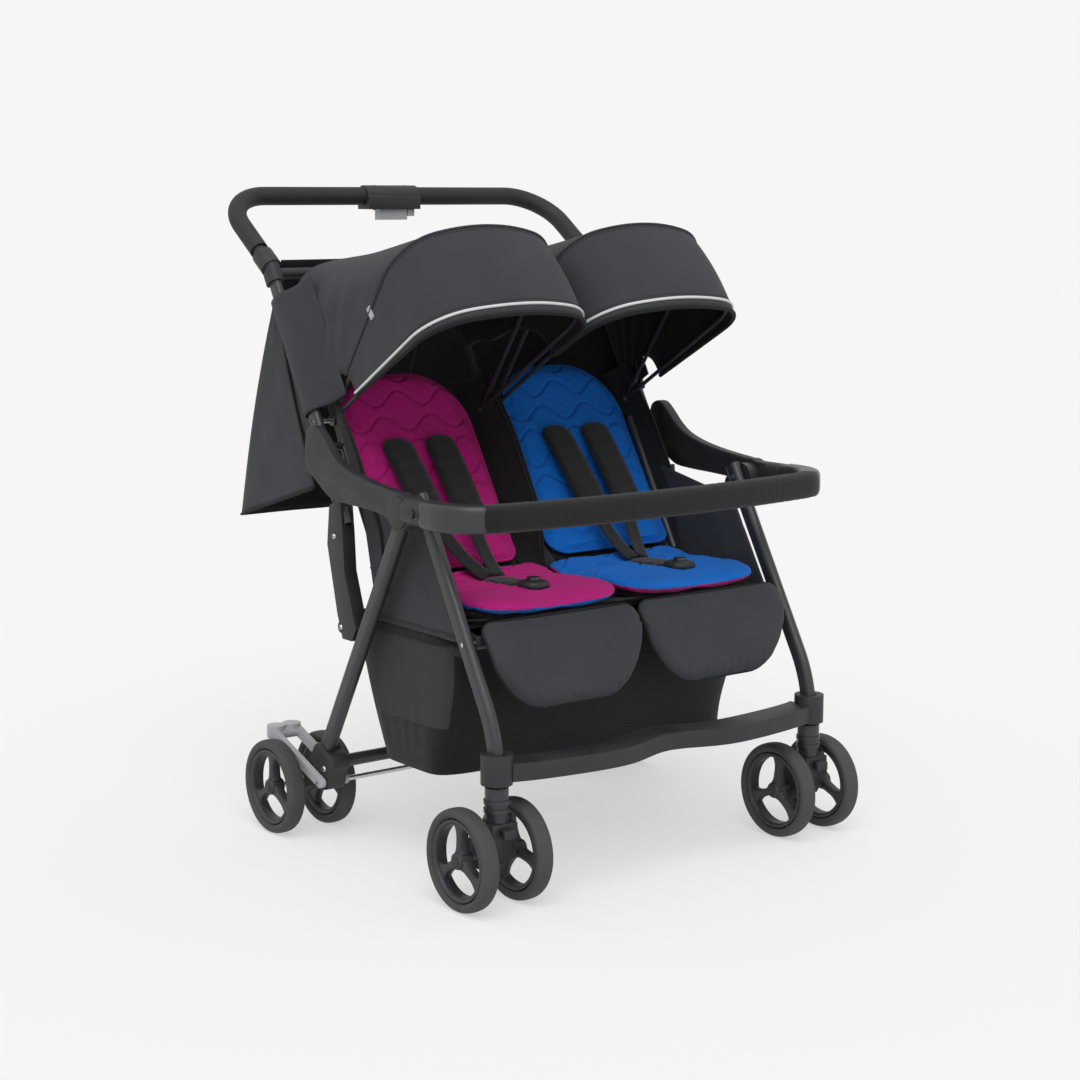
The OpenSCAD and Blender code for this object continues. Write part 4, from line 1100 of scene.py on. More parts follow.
def calf_tapered(obj, centre):
    """Narrows a calf rest towards its foot."""
    for vert in obj.data.vertices:
        x, v, _ = CALF_PLANE.local(vert.co)
        vert.co.x = (centre + (x - centre) * calf_share(v)) * MM


class STROLLER_OT_calves(Operator):
    """Padded calf rests with a seam under their top edge, piped rims, gathers and hinge arms"""
    bl_idname = "stroller.calves"
    bl_label = "Calf rests"

    def execute(self, context):
        for name, side in SIDES:
            shape = calf_shape(side)

            def swell(x, v):
                seam = -3.4 * bump(v, calf_seam(x), 3.4)
                belly = 2.5 * bump(v, 84, 40)
                gather = 1.3 * math.sin(0.34 * x + 0.02 * v) * smooth((v - 92) / 34)
                return seam + belly + gather

            pad = pad_object("pad", CALF_PLANE, shape, thick=18, step=3.2, form=calf_form, swell=swell,
                             edge=0.75)
            inflated(pad, CALF_PLANE, sizes().swell * 0.5, voxel=0.0045)
            piping = edge_binding("piping", CALF_PLANE, shape, calf_form, height=9.0, radius=2.2, inset=0.4)
            pieces = in_finish("canopy", pad) + in_finish("binding", piping)
            for piece in pieces:
                calf_tapered(piece, shape.centre)
            for arm in (-88, 88):
                x = (side * SEAT_X + arm) * MM
                eye = revolved("eye", CALF_EYE, Vector((x, SEAT_FRONT.y, SEAT_FRONT.z)), 40)
                high = SEAT_FRONT.z + 0.004
                path = [Vector((x, SEAT_FRONT.y - 0.0095, high - 0.011 * i)) for i in range(5)]
                bar = swept("arm", path, strap_section(0.014, 0.010), up=Vector((0, 1, 0)))
                pieces += in_finish("plastic", eye, bar)
            whole = joined("calf_" + name + "_pad", pieces)
            dress(whole, None, "calf_" + name, "canopy_cloth", "calf_" + name)
        return {"FINISHED"}


# Hoods

HOOD_X = 151.0
HOOD_HALF = 148.5
HOOD_CORNER = 83.5
HOOD_CROWN = 308.5
HOOD_REAR = 61.5
HOOD_SEAM = 125.4
HOOD_FRONT = 151.4
REACH_REAR = 277.0
REACH_SEAM = 364.0
REACH_FRONT = 362.0


def hood_reach(angle):
    """Reach of the hood's crown from its pivot: a flat run to the seam, then a round visor."""
    if angle >= HOOD_SEAM:
        return mix(REACH_SEAM, REACH_FRONT, (angle - HOOD_SEAM) / (HOOD_FRONT - HOOD_SEAM))
    a = math.radians(HOOD_REAR)
    b = math.radians(HOOD_SEAM)
    py, pz = REACH_REAR * math.cos(a), REACH_REAR * math.sin(a)
    qy, qz = REACH_SEAM * math.cos(b), REACH_SEAM * math.sin(b)
    t = math.radians(angle)
    return (py * qz - pz * qy) / (math.cos(t) * (qz - pz) - math.sin(t) * (qy - py))


def hood_arch(reach, low_out, low_in, legs=12, corner=12, crown=22):
    """Points across one hood row, outer edge first: (across, out from the pivot)."""
    turn = math.asin((HOOD_HALF - HOOD_CORNER) / (HOOD_CROWN - HOOD_CORNER))
    cx = HOOD_HALF - HOOD_CORNER
    cz = reach - HOOD_CROWN + (HOOD_CROWN - HOOD_CORNER) * math.cos(turn)
    pts = [(HOOD_HALF, mix(low_out, cz, i / legs)) for i in range(legs)]
    for i in range(corner + 1):
        a = (math.pi / 2 - turn) * i / corner
        pts.append((cx + HOOD_CORNER * math.cos(a), cz + HOOD_CORNER * math.sin(a)))
    for i in range(1, crown):
        a = turn - 2 * turn * i / crown
        pts.append((HOOD_CROWN * math.sin(a), reach - HOOD_CROWN + HOOD_CROWN * math.cos(a)))
    for i in range(corner, -1, -1):
        a = (math.pi / 2 - turn) * i / corner
        pts.append((-cx - HOOD_CORNER * math.cos(a), cz + HOOD_CORNER * math.sin(a)))
    pts += [(-HOOD_HALF, mix(cz, low_in, i / legs)) for i in range(1, legs + 1)]
    return pts


def hood_low(angle):
    """Where the outer and inner lower edges of a hood end, out from the pivot."""
    t = (angle - HOOD_REAR) / (HOOD_FRONT - HOOD_REAR)
    outer = mix(20, 92, smooth(t * 1.25))
    inner = mix(110, 205, smooth((t - 0.35) / 0.65))
    return outer, inner


def hood_row(side, angle, lift=0.0):
    """Points of one row of a hood, with the sag of cloth between its bows; lift moves it out."""
    a = math.radians(angle)
    row = []
    pts = hood_arch(hood_reach(angle), *hood_low(angle))
    n = len(pts)
    rear = max(0.0, min(1.0, (angle - HOOD_REAR) / (HOOD_SEAM - HOOD_REAR)))
    visor = max(0.0, min(1.0, (angle - HOOD_SEAM) / (HOOD_FRONT - HOOD_SEAM)))
    sag = 6.0 * math.sin(math.pi * rear) + 2.0 * math.sin(math.pi * visor)
    for i, (x, r) in enumerate(pts):
        s = i / (n - 1)
        top = bump(s, 0.5, 0.26)
        pucker = 1.6 * math.sin(9 * math.pi * rear + 3.0 * s) * math.sin(math.pi * rear) * bump(s, 0.16, 0.14)
        slack = 1.0 * math.sin(26 * s) * math.sin(math.pi * visor)
        r -= sag * top * 0.8 - lift - slack * top
        across = x * (1 + (lift + pucker) / max(60.0, abs(x)) * (1 - top))
        row.append(Vector(((side * HOOD_X + side * across) * MM, HOOD_PIVOT.y + r * math.cos(a) * MM,
                           HOOD_PIVOT.z + r * math.sin(a) * MM)))
    return row


def along_row(name, row, radius, lift, material, sides=8):
    """A thin round piping laid on a row of hood points."""
    rows = []
    n = len(row)
    for i, p in enumerate(row):
        t = (row[min(i + 1, n - 1)] - row[max(i - 1, 0)]).normalized()
        spoke = Vector((0, p.y - HOOD_PIVOT.y, p.z - HOOD_PIVOT.z)).normalized() * 0.18
        axis = Vector((math.copysign(HOOD_X * MM, p.x), HOOD_PIVOT.y, HOOD_PIVOT.z)) + spoke
        out = (p - axis).normalized()
        out = (out - t * out.dot(t)).normalized()
        side = t.cross(out).normalized()
        c = p + out * lift
        rows.append([c + (out * math.cos(a) + side * math.sin(a)) * radius
                     for a in (2 * math.pi * j / sides for j in range(sides))])
    obj = outward(grid_object(name, rows, wrap_cols=True))
    obj.data.materials.append(material)
    return obj


def lined(sheet, face_out, material, lining, thickness):
    """Thickens a sheet, with its lining on the side away from face_out, a point seen by its outer face."""
    nearest = min(sheet.data.polygons, key=lambda p: (p.center - face_out).length)
    if (face_out - nearest.center).dot(nearest.normal) < 0:
        sheet.data.flip_normals()
    sheet.data.materials.append(material)
    sheet.data.materials.append(lining)
    mod = sheet.modifiers.new("Cloth thickness", "SOLIDIFY")
    mod.thickness = thickness
    mod.offset = -1.0
    mod.material_offset = 1
    return apply_modifiers(sheet)


class STROLLER_OT_hoods(Operator):
    """Hoods: one curved lined sheet each, with a piped seam, a white piping, a dark hem and a small tab"""
    bl_idname = "stroller.hoods"
    bl_label = "Hoods"

    def execute(self, context):
        angles = [mix(HOOD_REAR, HOOD_SEAM, i / 28) for i in range(28)]
        angles += [mix(HOOD_SEAM, HOOD_FRONT, i / 16) for i in range(17)]
        for name, side in SIDES:
            node = "canopy_" + name
            sheet = grid_object(node + "_cloth", [hood_row(side, a) for a in angles])
            above = Vector((side * HOOD_X * MM, HOOD_PIVOT.y, HOOD_PIVOT.z + 2.0))
            lined(sheet, above, finish("canopy"), finish("lining"), sizes().cloth)
            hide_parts(node)
            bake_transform(sheet)
            row = hood_row(side, HOOD_SEAM)
            trims = [along_row("seam", row, 0.0019, 0.0009, finish("canopy")),
                     along_row("piping", hood_row(side, HOOD_FRONT - 2.4), 0.0023, 0.0009, finish("piping")),
                     along_row("hem", hood_row(side, HOOD_FRONT), 0.0036, -0.001, finish("binding"))]
            tab_at = row[8]
            line = [tab_at + Vector((side * 0.001, 0.004 - 0.003 * i, 0.006 - 0.004 * i)) for i in range(5)]
            tab = swept("tab", line, strap_section(0.010, 0.0022), up=Vector((side, 0, 0)))
            trims += in_finish("grey", tab)
            dress(joined(node + "_trims", trims), None, node, "canopy_cloth")
        return {"FINISHED"}


# Harness

def soft_slab(name, plane, x, width, start, length, low, thick, tilt=0.0, bow=0.0, step=3.0):
    """A padded strap with rounded ends: tilt moves its far end across, bow lifts its middle."""
    shape = PadShape(0, width, 0, length, width * 0.40, width * 0.40)
    rows = max(12, int(length / step))
    cols = max(8, int(width / step))
    top = []
    under = []
    for r in range(rows + 1):
        t = r / rows
        v = length * eased(t)
        wide = shape.half_at(v)
        for c in range(cols + 1):
            s = -1 + 2 * c / cols
            px = wide * s
            inset = shape.inset(px, v)
            roll = rim_roll(inset, thick * 0.7)
            seam = 0.9 * bump(inset, 6.5, 1.6)
            crease = 0.5 * math.sin(0.22 * v + 0.05 * px) * roll
            base = low + bow * math.sin(math.pi * t)
            place = x + px + tilt * (t - 0.5)
            top.append(plane.at(place, start + v, base + thick * (0.5 + 0.5 * roll) - seam + crease))
            under.append(plane.at(place, start + v, base + thick * 0.5 * (1 - roll)))
    return closed_pad(name, top, under, rows, cols)


class STROLLER_OT_harness(Operator):
    """Shoulder pads with their webbing, crotch straps and buckles"""
    bl_idname = "stroller.harness"
    bl_label = "Harness"

    def execute(self, context):
        crotch = []
        for name, side in SIDES:
            pads = []
            for e in (-1, 1):
                x = side * BACK_X + e * 38
                pads.append(soft_slab("shoulder", SHOULDER_PLANE, x, width=57, start=0, length=160, low=0.6,
                                      thick=11, tilt=-e * 6, bow=2.0))
                lead = SHOULDER_PLANE.at(x - e * 3, 146, 4)
                buckle = SEAT_PLANE.at(side * SEAT_X + e * 11, 158, 24)
                path = []
                for i in range(15):
                    t = i / 14
                    sag = Vector((0, 0, -0.010 * math.sin(math.pi * t)))
                    path.append(lead.lerp(buckle, t) + sag)
                pads.append(swept("strap", path, strap_section(0.024, 0.0018), up=BACK_PLANE.out))
            obj = joined("harness_" + name + "_pads", in_finish("webbing", *pads))
            dress(obj, None, "back_" + name, "webbing", "harness_" + name)
            x = side * SEAT_X
            tongue = soft_slab("tongue", SEAT_PLANE, x, width=44, start=70, length=92, low=13.6, thick=9)
            buckle = soft_slab("buckle", SEAT_PLANE, x, width=46, start=32, length=46, low=13.6, thick=14.5,
                               step=2.2)
            crotch += in_finish("webbing", tongue) + in_finish("plastic", buckle)
        obj = joined("crotch_straps_pads", crotch)
        dress(obj, None, "seat", "webbing", "crotch_straps")
        for name, _ in SIDES:
            repaint("buckle_button_" + name, "button")
        return {"FINISHED"}


# Curtains, basket and panels

# A wrap's section round the handle tube: X, and how far behind the back's own plane.
WRAP = [(299.5, -66), (301, -44), (312, -27), (328, -18), (333.5, -8), (333.5, 8), (328, 18), (312, 28),
        (299, 42), (294.5, 64), (293.5, 84), (293.5, 108)]


def rounded_line(points, rounds=3):
    """A smooth line near the points, by cutting corners."""
    for _ in range(rounds):
        cut = [points[0]]
        for a, b in zip(points, points[1:]):
            cut.append(a.lerp(b, 0.25))
            cut.append(a.lerp(b, 0.75))
        points = cut + [points[-1]]
    return points


class STROLLER_OT_wraps(Operator):
    """Cloth from the side of each hood round its handle tube to the rear curtain"""
    bl_idname = "stroller.wraps"
    bl_label = "Handle wraps"

    def execute(self, context):
        for name, side in SIDES:
            rows = []
            count = 30
            for r in range(count + 1):
                t = r / count
                section = []
                for x, q in WRAP:
                    e = mix(488, 292, t) - 0.16 * min(q, 42) * (1 - t)
                    slack = 1.2 * math.sin(4 * math.pi * t + 0.05 * q)
                    section.append(BACK_PLANE.at(side * (x + slack * 0.4), e, -q))
                rows.append(rounded_line(section))
            sheet = grid_object("handle_wrap_" + name, rows)
            lined(sheet, side_point(side * 1200, 480, 760), finish("canopy"), finish("lining"), sizes().cloth)
            dress(sheet, None, "handle", "canopy_cloth")
        return {"FINISHED"}


class STROLLER_OT_curtains(Operator):
    """Rear curtains that hang from the handle's cross tube, flare out behind the seats and turn forward"""
    bl_idname = "stroller.curtains"
    bl_label = "Rear curtains"

    def execute(self, context):
        top = (563.0, 901.0)
        foot = (712.0, 480.0)
        turn = 0.72
        overlap = 1.3
        inner, outer = -2.0, 296.0
        rows, cols = 48, 64

        def handle_line(z):
            return 287.5 + (z - 418.1) * math.tan(LEAN)

        for name, side in SIDES:
            grid = []
            for r in range(rows + 1):
                t = r / rows
                py = mix(top[0], foot[0], t) + 14 * math.sin(math.pi * t) + side * overlap
                pz = mix(top[1], foot[1], t)
                line = []
                for c in range(cols + 1):
                    u = c / cols
                    if u < turn:
                        wave = 7 * t * math.sin(4 * math.pi * u + 0.6) * (turn - u) / turn
                        line.append(side_point(side * mix(inner, outer, u / turn), py + wave, pz))
                    else:
                        k = (u - turn) / (1 - turn)
                        z = pz + 70 * t * k
                        front = min(py, max(handle_line(z) + 15, py - 270 * max(0.0, t - 0.12)))
                        ripple = 3.0 * t * math.sin(3 * math.pi * k) * math.sin(5 * math.pi * t)
                        line.append(side_point(side * (outer + ripple * 0.6), mix(py, front, k), z))
                grid.append(line)
            sheet = grid_object("rear_curtain_" + name, grid)
            lined(sheet, side_point(side * 900, 1400, 700), finish("canopy"), finish("lining"), sizes().cloth)
            dress(sheet, None, "handle", "canopy_cloth", "rear_curtains")
            hem = swept("hem", grid[-1], round_section(0.0024))
            free_side = [row[-1] for row in grid[6:]]
            edge = swept("side", free_side, round_section(0.0022), up=Vector((1, 0, 0)))
            edges = joined("rear_curtain_hem_" + name, in_finish("binding", hem, edge))
            dress(edges, None, "handle", "canopy_cloth")
        return {"FINISHED"}


class STROLLER_OT_basket(Operator):
    """Basket: a sagging cloth tub with net sides, a taped rim and two straps"""
    bl_idname = "stroller.basket"
    bl_label = "Basket"

    def execute(self, context):
        half = 293.0
        rim_z, floor_z = 363, 150
        square = 7.0
        levels = 26
        loop_n = 120
        grid = []
        for r in range(levels + 1):
            t = r / levels
            z = mix(rim_z, floor_z, t)
            front = mix(101, 146, smooth(t) ** 1.6)
            rear = mix(403, 322, t ** 1.3)
            wide = half - 9 * t ** 2
            line = []
            for i in range(loop_n):
                a = 2 * math.pi * i / loop_n
                ca, sa = math.cos(a), math.sin(a)
                k = (abs(ca) ** square + abs(sa) ** square) ** (-1 / square)
                x = wide * ca * k
                y = (front + rear) / 2 + (rear - front) / 2 * sa * k
                sag = 5.0 * math.sin(math.pi * t) * (1 - abs(ca * k) ** 4)
                fold = 1.8 * math.sin(13 * a) * math.sin(math.pi * t)
                x -= math.copysign(abs(fold), x) * 0.6
                line.append(side_point(x, y + math.copysign(sag * 0.3, sa), z))
            grid.append(line)
        verts = [p for row in grid for p in row]
        faces = grid_faces(levels + 1, loop_n, False, True)
        last = levels * loop_n
        rings = 10
        centre = side_point(0, 235, 146)
        for k in range(1, rings):
            for i in range(loop_n):
                p = verts[last + i]
                q = p.lerp(centre, k / rings)
                q.z = p.z - 0.005 * math.sin(math.pi / 2 * k / rings)
                verts.append(q)
        start = last
        for k in range(1, rings):
            new = last + k * loop_n
            for i in range(loop_n):
                j = (i + 1) % loop_n
                faces.append((start + i, start + j, new + j, new + i))
            start = new
        verts.append(centre)
        for i in range(loop_n):
            faces.append((start + i, start + (i + 1) % loop_n, len(verts) - 1))
        tub = outward(mesh_object("basket_tub", verts, faces))
        tub.data.materials.append(finish("black_cloth"))
        tub.data.materials.append(finish("net"))
        for p in tub.data.polygons:
            if abs(p.center.x) > 0.275 and 0.225 < p.center.z < 0.353:
                p.material_index = 1
        thickened(tub, THIN_CLOTH)
        dress(tub, None, "front_frame", "basket_cloth", "basket")
        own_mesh(tub)
        rim = [p + Vector((0, 0, 0.001)) for p in grid[0]]
        rows = []
        for i in range(loop_n):
            t = (rim[(i + 1) % loop_n] - rim[i - 1]).normalized()
            s = t.cross(Vector((0, 0, 1))).normalized()
            rows.append([rim[i] + s * a + Vector((0, 0, b)) for a, b in
                         ((-0.0018, -0.012), (0.0018, -0.012), (0.0022, 0.0), (0.0, 0.002), (-0.0022, 0.0))])
        tape = outward(grid_object("basket_rim_tape", rows, wrap_rows=True, wrap_cols=True))
        dress(tape, finish("binding"), "front_frame", "basket_cloth")
        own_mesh(tape)
        for name, side in SIDES:
            path = [side_point(side * 293.2, y, 352) for y in range(48, 112, 6)]
            strap = swept("basket_strap_" + name, path, tape_section(0.0012, 0.007))
            dress(strap, finish("binding"), "front_frame", "basket_cloth")
            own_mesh(strap)
        return {"FINISHED"}


class STROLLER_OT_panels(Operator):
    """Side panels of cloth between the legs and the seats, with a taped lower edge"""
    bl_idname = "stroller.panels"
    bl_label = "Side panels"

    def execute(self, context):
        corners = [(66.0, 371.0), (153.4, 519.8), (345.8, 557.9), (302.0, 371.0)]
        n = 30
        for name, side in SIDES:
            grid = []
            for r in range(n + 1):
                line = []
                for c in range(n + 1):
                    u, v = c / n, r / n
                    y = mix(mix(corners[0][0], corners[3][0], u), mix(corners[1][0], corners[2][0], u), v)
                    z = mix(mix(corners[0][1], corners[3][1], u), mix(corners[1][1], corners[2][1], u), v)
                    seam = 0.9 * bump(u, 0.30, 0.02) + 0.9 * bump(v, 0.72, 0.02)
                    line.append(side_point(side * (293.4 - seam), y, z))
                grid.append(line)
            sheet = grid_object("side_panel_" + name, grid)
            thickened(sheet, THIN_CLOTH, 0.0)
            dress(sheet, finish("canopy"), "front_frame", "canopy_cloth", "side_panels")
            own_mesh(sheet)
            tape = swept("side_panel_tape_" + name, grid[0], tape_section(0.0014, 0.005))
            dress(tape, finish("webbing"), "front_frame", "canopy_cloth")
            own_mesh(tape)
        return {"FINISHED"}


# Bumper bar

SOCKET_X = 345.5
SOCKET_FRONT = 88.0
CORNER_R = 70.0
CORNER_Y = 62.0
BUMPER_BOW = 2000.0
BUMPER_Z = 557.0
SLEEVE_END = -60.0


def bumper_half():
    return math.asin((SOCKET_X - CORNER_R) / (BUMPER_BOW - CORNER_R))


def bumper_corner(side, start, end, steps):
    """Points round one corner of the bumper bar, between two angles in degrees."""
    pts = []
    for i in range(steps + 1):
        a = math.radians(mix(start, end, i / steps))
        x = SOCKET_X - CORNER_R + CORNER_R * math.cos(a)
        pts.append(side_point(side * x, CORNER_Y + CORNER_R * math.sin(a), BUMPER_Z))
    return pts


def bumper_front(steps=90):
    half = bumper_half()
    by = CORNER_Y + (BUMPER_BOW - CORNER_R) * math.cos(half)
    turns = [half * (1 - 2 * i / steps) for i in range(1, steps)]
    return [side_point(BUMPER_BOW * math.sin(a), by - BUMPER_BOW * math.cos(a), BUMPER_Z) for a in turns]


def squared_section(wide, high, count=40, power=4.5):
    """A rectangle with soft corners, as half sizes."""
    ring = []
    for k in range(count):
        c = math.cos(2 * math.pi * k / count)
        d = math.sin(2 * math.pi * k / count)
        r = (abs(c) ** power + abs(d) ** power) ** (-1 / power)
        ring.append((wide * c * r, high * d * r))
    return ring


class STROLLER_OT_bumper(Operator):
    """Padded cloth cover of the bumper bar with its seams, and a moulded sleeve round each corner"""
    bl_idname = "stroller.bumper"
    bl_label = "Bumper cover"

    def execute(self, context):
        turn_end = -90.0 + math.degrees(bumper_half())
        right = bumper_corner(1, SLEEVE_END, turn_end, 12)
        left = bumper_corner(-1, turn_end, SLEEVE_END, 12)

        def section(t):
            end = min(t, 1 - t)
            swell = mix(0.0182, 0.0200, smooth(end / 0.012))
            ring = []
            for a, b in squared_section(swell, swell * 1.02, 44, 2.6):
                turn = math.atan2(b, a)
                pucker = 0.0002 * math.sin(150 * math.pi * t + 2 * math.sin(3 * turn))
                seam = 0.0010 * bump(abs(turn), math.pi * 0.52, 0.06)
                k = 1 + (pucker - seam) / swell
                ring.append((a * k, b * k))
            return ring

        cover = swept("bumper_cover_cloth", right + bumper_front() + left, section)
        dress(cover, finish("black_cloth"), "bumper", "canopy_cloth", "bumper_cover")

        def sleeve_section(t):
            lip = 1 - 0.07 * smooth((t - 0.965) / 0.03) - 0.05 * smooth((0.03 - t) / 0.03)
            return squared_section(0.0172 * lip, 0.0205 * lip)

        sleeves = []
        for side in (-1, 1):
            run = [mix(SOCKET_FRONT - 0.6, CORNER_Y, i / 8) for i in range(8)]
            path = [side_point(side * SOCKET_X, y, BUMPER_Z) for y in run]
            path += bumper_corner(side, 0.0, SLEEVE_END - 2.0, 40)
            sleeves += in_finish("satin", swept("sleeve", path, sleeve_section))
        body = joined("bumper_sleeves", sleeves)
        shade_by_angle(body, 40)
        dress(body, None, "bumper", "plastic")
        return {"FINISHED"}


# Wheels

WHEEL_R = 0.075
TYRE_T = 0.015
TYRE_W = 0.028
HUB_R = WHEEL_R - TYRE_T
HUB_W = 0.022
# Where each wheel's first arm stands, in degrees, and the cap's section as (radius, across) pairs.
ARM_TURN = {1: 90, 2: 70, 3: 98, 4: 82}
CAP = [(0.0002, 0.0), (0.0072, 0.0), (0.0082, -0.0009), (0.0082, -0.004), (0.0002, -0.004)]


def tyre_profile():
    pts = []
    mid = WHEEL_R - TYRE_T / 2
    for k in range(28):
        a = 2 * math.pi * k / 28
        c, s = math.cos(a), math.sin(a)
        r = mid + math.copysign(abs(c) ** 0.8, c) * TYRE_T / 2
        w = math.copysign(abs(s) ** 0.72, s) * TYRE_W / 2
        pts.append((r, w))
    return pts


def rim_profile():
    out, low = HUB_R - 0.0002, HUB_R - 0.0075
    w = HUB_W / 2
    return [(out, -w + 0.001), (out, w - 0.001), (out - 0.001, w), (low + 0.003, w),
            (low + 0.0005, w - 0.002), (low, w - 0.004), (low, -w + 0.004), (low + 0.0005, -w + 0.002),
            (low + 0.003, -w), (out - 0.001, -w)]


def boss_profile():
    w = HUB_W / 2
    return [(0.0041, -w - 0.0018), (0.0041, w + 0.0018), (0.009, w + 0.0018), (0.0115, w + 0.0006),
            (0.0128, w - 0.002), (0.0128, -w + 0.002), (0.0115, -w - 0.0006), (0.009, -w - 0.0018)]


def spoke_mesh(centre, angle):
    """One Y arm: narrow at the boss, flared with round fillets into the rim."""
    rows = []
    n = 14
    for i in range(n + 1):
        t = i / n
        r = mix(0.0105, HUB_R - 0.0045, t)
        half = 0.0062 + 0.0135 * max(0.0, (t - 0.45) / 0.55) ** 2.4 + 0.0035 * max(0.0, 1 - t / 0.25) ** 2
        deep = mix(0.0088, 0.0072, t)
        ring = []
        for j in range(16):
            a = 2 * math.pi * j / 16
            c, s = math.cos(a), math.sin(a)
            across = math.copysign(abs(c) ** 0.5, c) * half
            wide = math.copysign(abs(s) ** 0.5, s) * deep
            y = r * math.cos(angle) - across * math.sin(angle)
            z = r * math.sin(angle) + across * math.cos(angle)
            ring.append(centre + Vector((wide, y, z)))
        rows.append(ring)
    return capped("spoke", rows)


class STROLLER_OT_wheels(Operator):
    """Eight wheels: a hub with three flared arms, a boss with a cap, and a rounded tyre"""
    bl_idname = "stroller.wheels"
    bl_label = "Wheels"

    def execute(self, context):
        for end in ("front", "rear"):
            for i in range(1, 5):
                node = f"{end}_wheel_{i}"
                centre = PIVOT[node + "_spin"]
                turn = math.radians(ARM_TURN[i])
                rim = revolved("rim", rim_profile(), centre, 96)
                boss = revolved("boss", boss_profile(), centre, 48)
                arms = [spoke_mesh(centre, turn + k * 2 * math.pi / 3) for k in range(3)]
                hub = in_finish("hub", rim, boss, *arms)
                outer = -1 if i in (1, 3) else 1
                cap = [(r, outer * (HUB_W / 2 + 0.0034 + w)) for r, w in CAP]
                hub += in_finish("plastic", revolved("cap", cap, centre, 40))
                body = joined(node + "_hub", hub)
                shade_by_angle(body, 38)
                dress(body, None, node, "wheel", node)
                tyre = revolved(node + "_tyre", tyre_profile(), centre, 120)
                dress(tyre, finish("tyre"), node, "wheel")
        return {"FINISHED"}


# Frame and mouldings

PAINTED = ("front_legs", "rear_legs", "rear_cross_tube", "handle_tube", "back_frame", "seat_frame",
           "bumper_tube", "canopy_bows_left", "canopy_bows_right")
BRIGHT = ("leg_pins", "arm_pins", "front_axle_left", "front_axle_right", "rear_axles", "brake_rod")
GREY = ("fold_lever", "safety_button")
NODE_FINISHES = ((PAINTED, "paint"), (BRIGHT, "steel"), (GREY, "grey"), (("grip",), "grip"))
# Mouldings with the width of their rounded edges in metres.
MOULDED = {"armrests": 0.0045, "fork_left": 0.0035, "fork_right": 0.0035, "footrest": 0.003,
           "rear_housings": 0.003, "latch_housings": 0.003, "latch_sleeves": 0.002, "fold_housing": 0.004,
           "swivel_lock_left": 0.0012, "swivel_lock_right": 0.0012, "handle_cross": 0.0015,
           "bumper_button_left": 0.0008, "bumper_button_right": 0.0008}
MOULDED_GREY = {"brake_pedal": 0.003}


def body_of_node(node):
    for body, nodes in frame["record"]["behaviour"]["bodies"].items():
        if node in nodes:
            return body
    raise KeyError(node)


class STROLLER_OT_frame(Operator):
    """Finishes of the tubes, pins and grip"""
    bl_idname = "stroller.frame"
    bl_label = "Frame"

    def execute(self, context):
        for names, finish_name in NODE_FINISHES:
            for node in names:
                repaint(node, finish_name)
        return {"FINISHED"}


ARM_X = 341.5
ARM_HALF = 9.6
BOOT = [(150, 538), (215, 546), (330, 549), (352, 555), (385, 576), (412, 590), (414, 612), (411, 645),
        (402, 655), (388, 658), (374, 652), (336, 615), (300, 600), (240, 588), (150, 579)]


def armrest_boot(side):
    """The armrest's boot shape: a level sole with an upright heel along the handle tube."""
    line = rounded_line([side_point(0, y, z) for y, z in BOOT], 2)
    rows = []
    for x in (ARM_X - ARM_HALF, ARM_X + ARM_HALF):
        rows.append([Vector((side * x * MM, p.y, p.z)) for p in line])
    n = len(line)
    faces = [(i, (i + 1) % n, n + (i + 1) % n, n + i) for i in range(n)]
    faces += [tuple(range(n)), tuple(range(2 * n - 1, n - 1, -1))]
    boot = outward(mesh_object("boot", rows[0] + rows[1], faces))
    return bevelled(boot, 0.005, 50)


class STROLLER_OT_mouldings(Operator):
    """Moulded parts with rounded edges, and the armrests' boot shapes"""
    bl_idname = "stroller.mouldings"
    bl_label = "Mouldings"

    def execute(self, context):
        for table, finish_name, slot in ((MOULDED, "plastic", "plastic"),
                                         (MOULDED_GREY, "grey", "grey_plastic")):
            for node, width in table.items():
                obj = softened(node, width)
                dress(obj, finish(finish_name), body_of_node(node), slot, node)
        for name, side in SIDES:
            boot = armrest_boot(side)
            boot.name = "armrest_boot_" + name
            dress(boot, finish("plastic"), body_of_node("armrests"), "plastic")
        return {"FINISHED"}


# Fasteners and stitches, grown by Geometry Nodes

def geometry_tree(name, inputs):
    tree = bpy.data.node_groups.new(name, "GeometryNodeTree")
    tree.interface.new_socket("Geometry", in_out="INPUT", socket_type="NodeSocketGeometry")
    for label, kind, value in inputs:
        socket = tree.interface.new_socket(label, in_out="INPUT", socket_type=kind)
        if value is not None:
            socket.default_value = value
    tree.interface.new_socket("Material", in_out="INPUT", socket_type="NodeSocketMaterial")
    tree.interface.new_socket("Geometry", in_out="OUTPUT", socket_type="NodeSocketGeometry")
    return tree, tree.nodes.new("NodeGroupInput"), tree.nodes.new("NodeGroupOutput")


def spread_and_paint(tree, source, sink, points, shape, direction):
    """Sets shape on every point, turned to direction, as real painted faces."""
    turn = tree.nodes.new("FunctionNodeAlignRotationToVector")
    turn.axis = "Z"
    spread = tree.nodes.new("GeometryNodeInstanceOnPoints")
    real = tree.nodes.new("GeometryNodeRealizeInstances")
    paint = tree.nodes.new("GeometryNodeSetMaterial")
    tree.links.new(direction, turn.inputs["Vector"])
    tree.links.new(points, spread.inputs["Points"])
    tree.links.new(shape, spread.inputs["Instance"])
    tree.links.new(turn.outputs["Rotation"], spread.inputs["Rotation"])
    tree.links.new(spread.outputs["Instances"], real.inputs["Geometry"])
    tree.links.new(real.outputs["Geometry"], paint.inputs["Geometry"])
    tree.links.new(source.outputs["Material"], paint.inputs["Material"])
    tree.links.new(paint.outputs["Geometry"], sink.inputs["Geometry"])


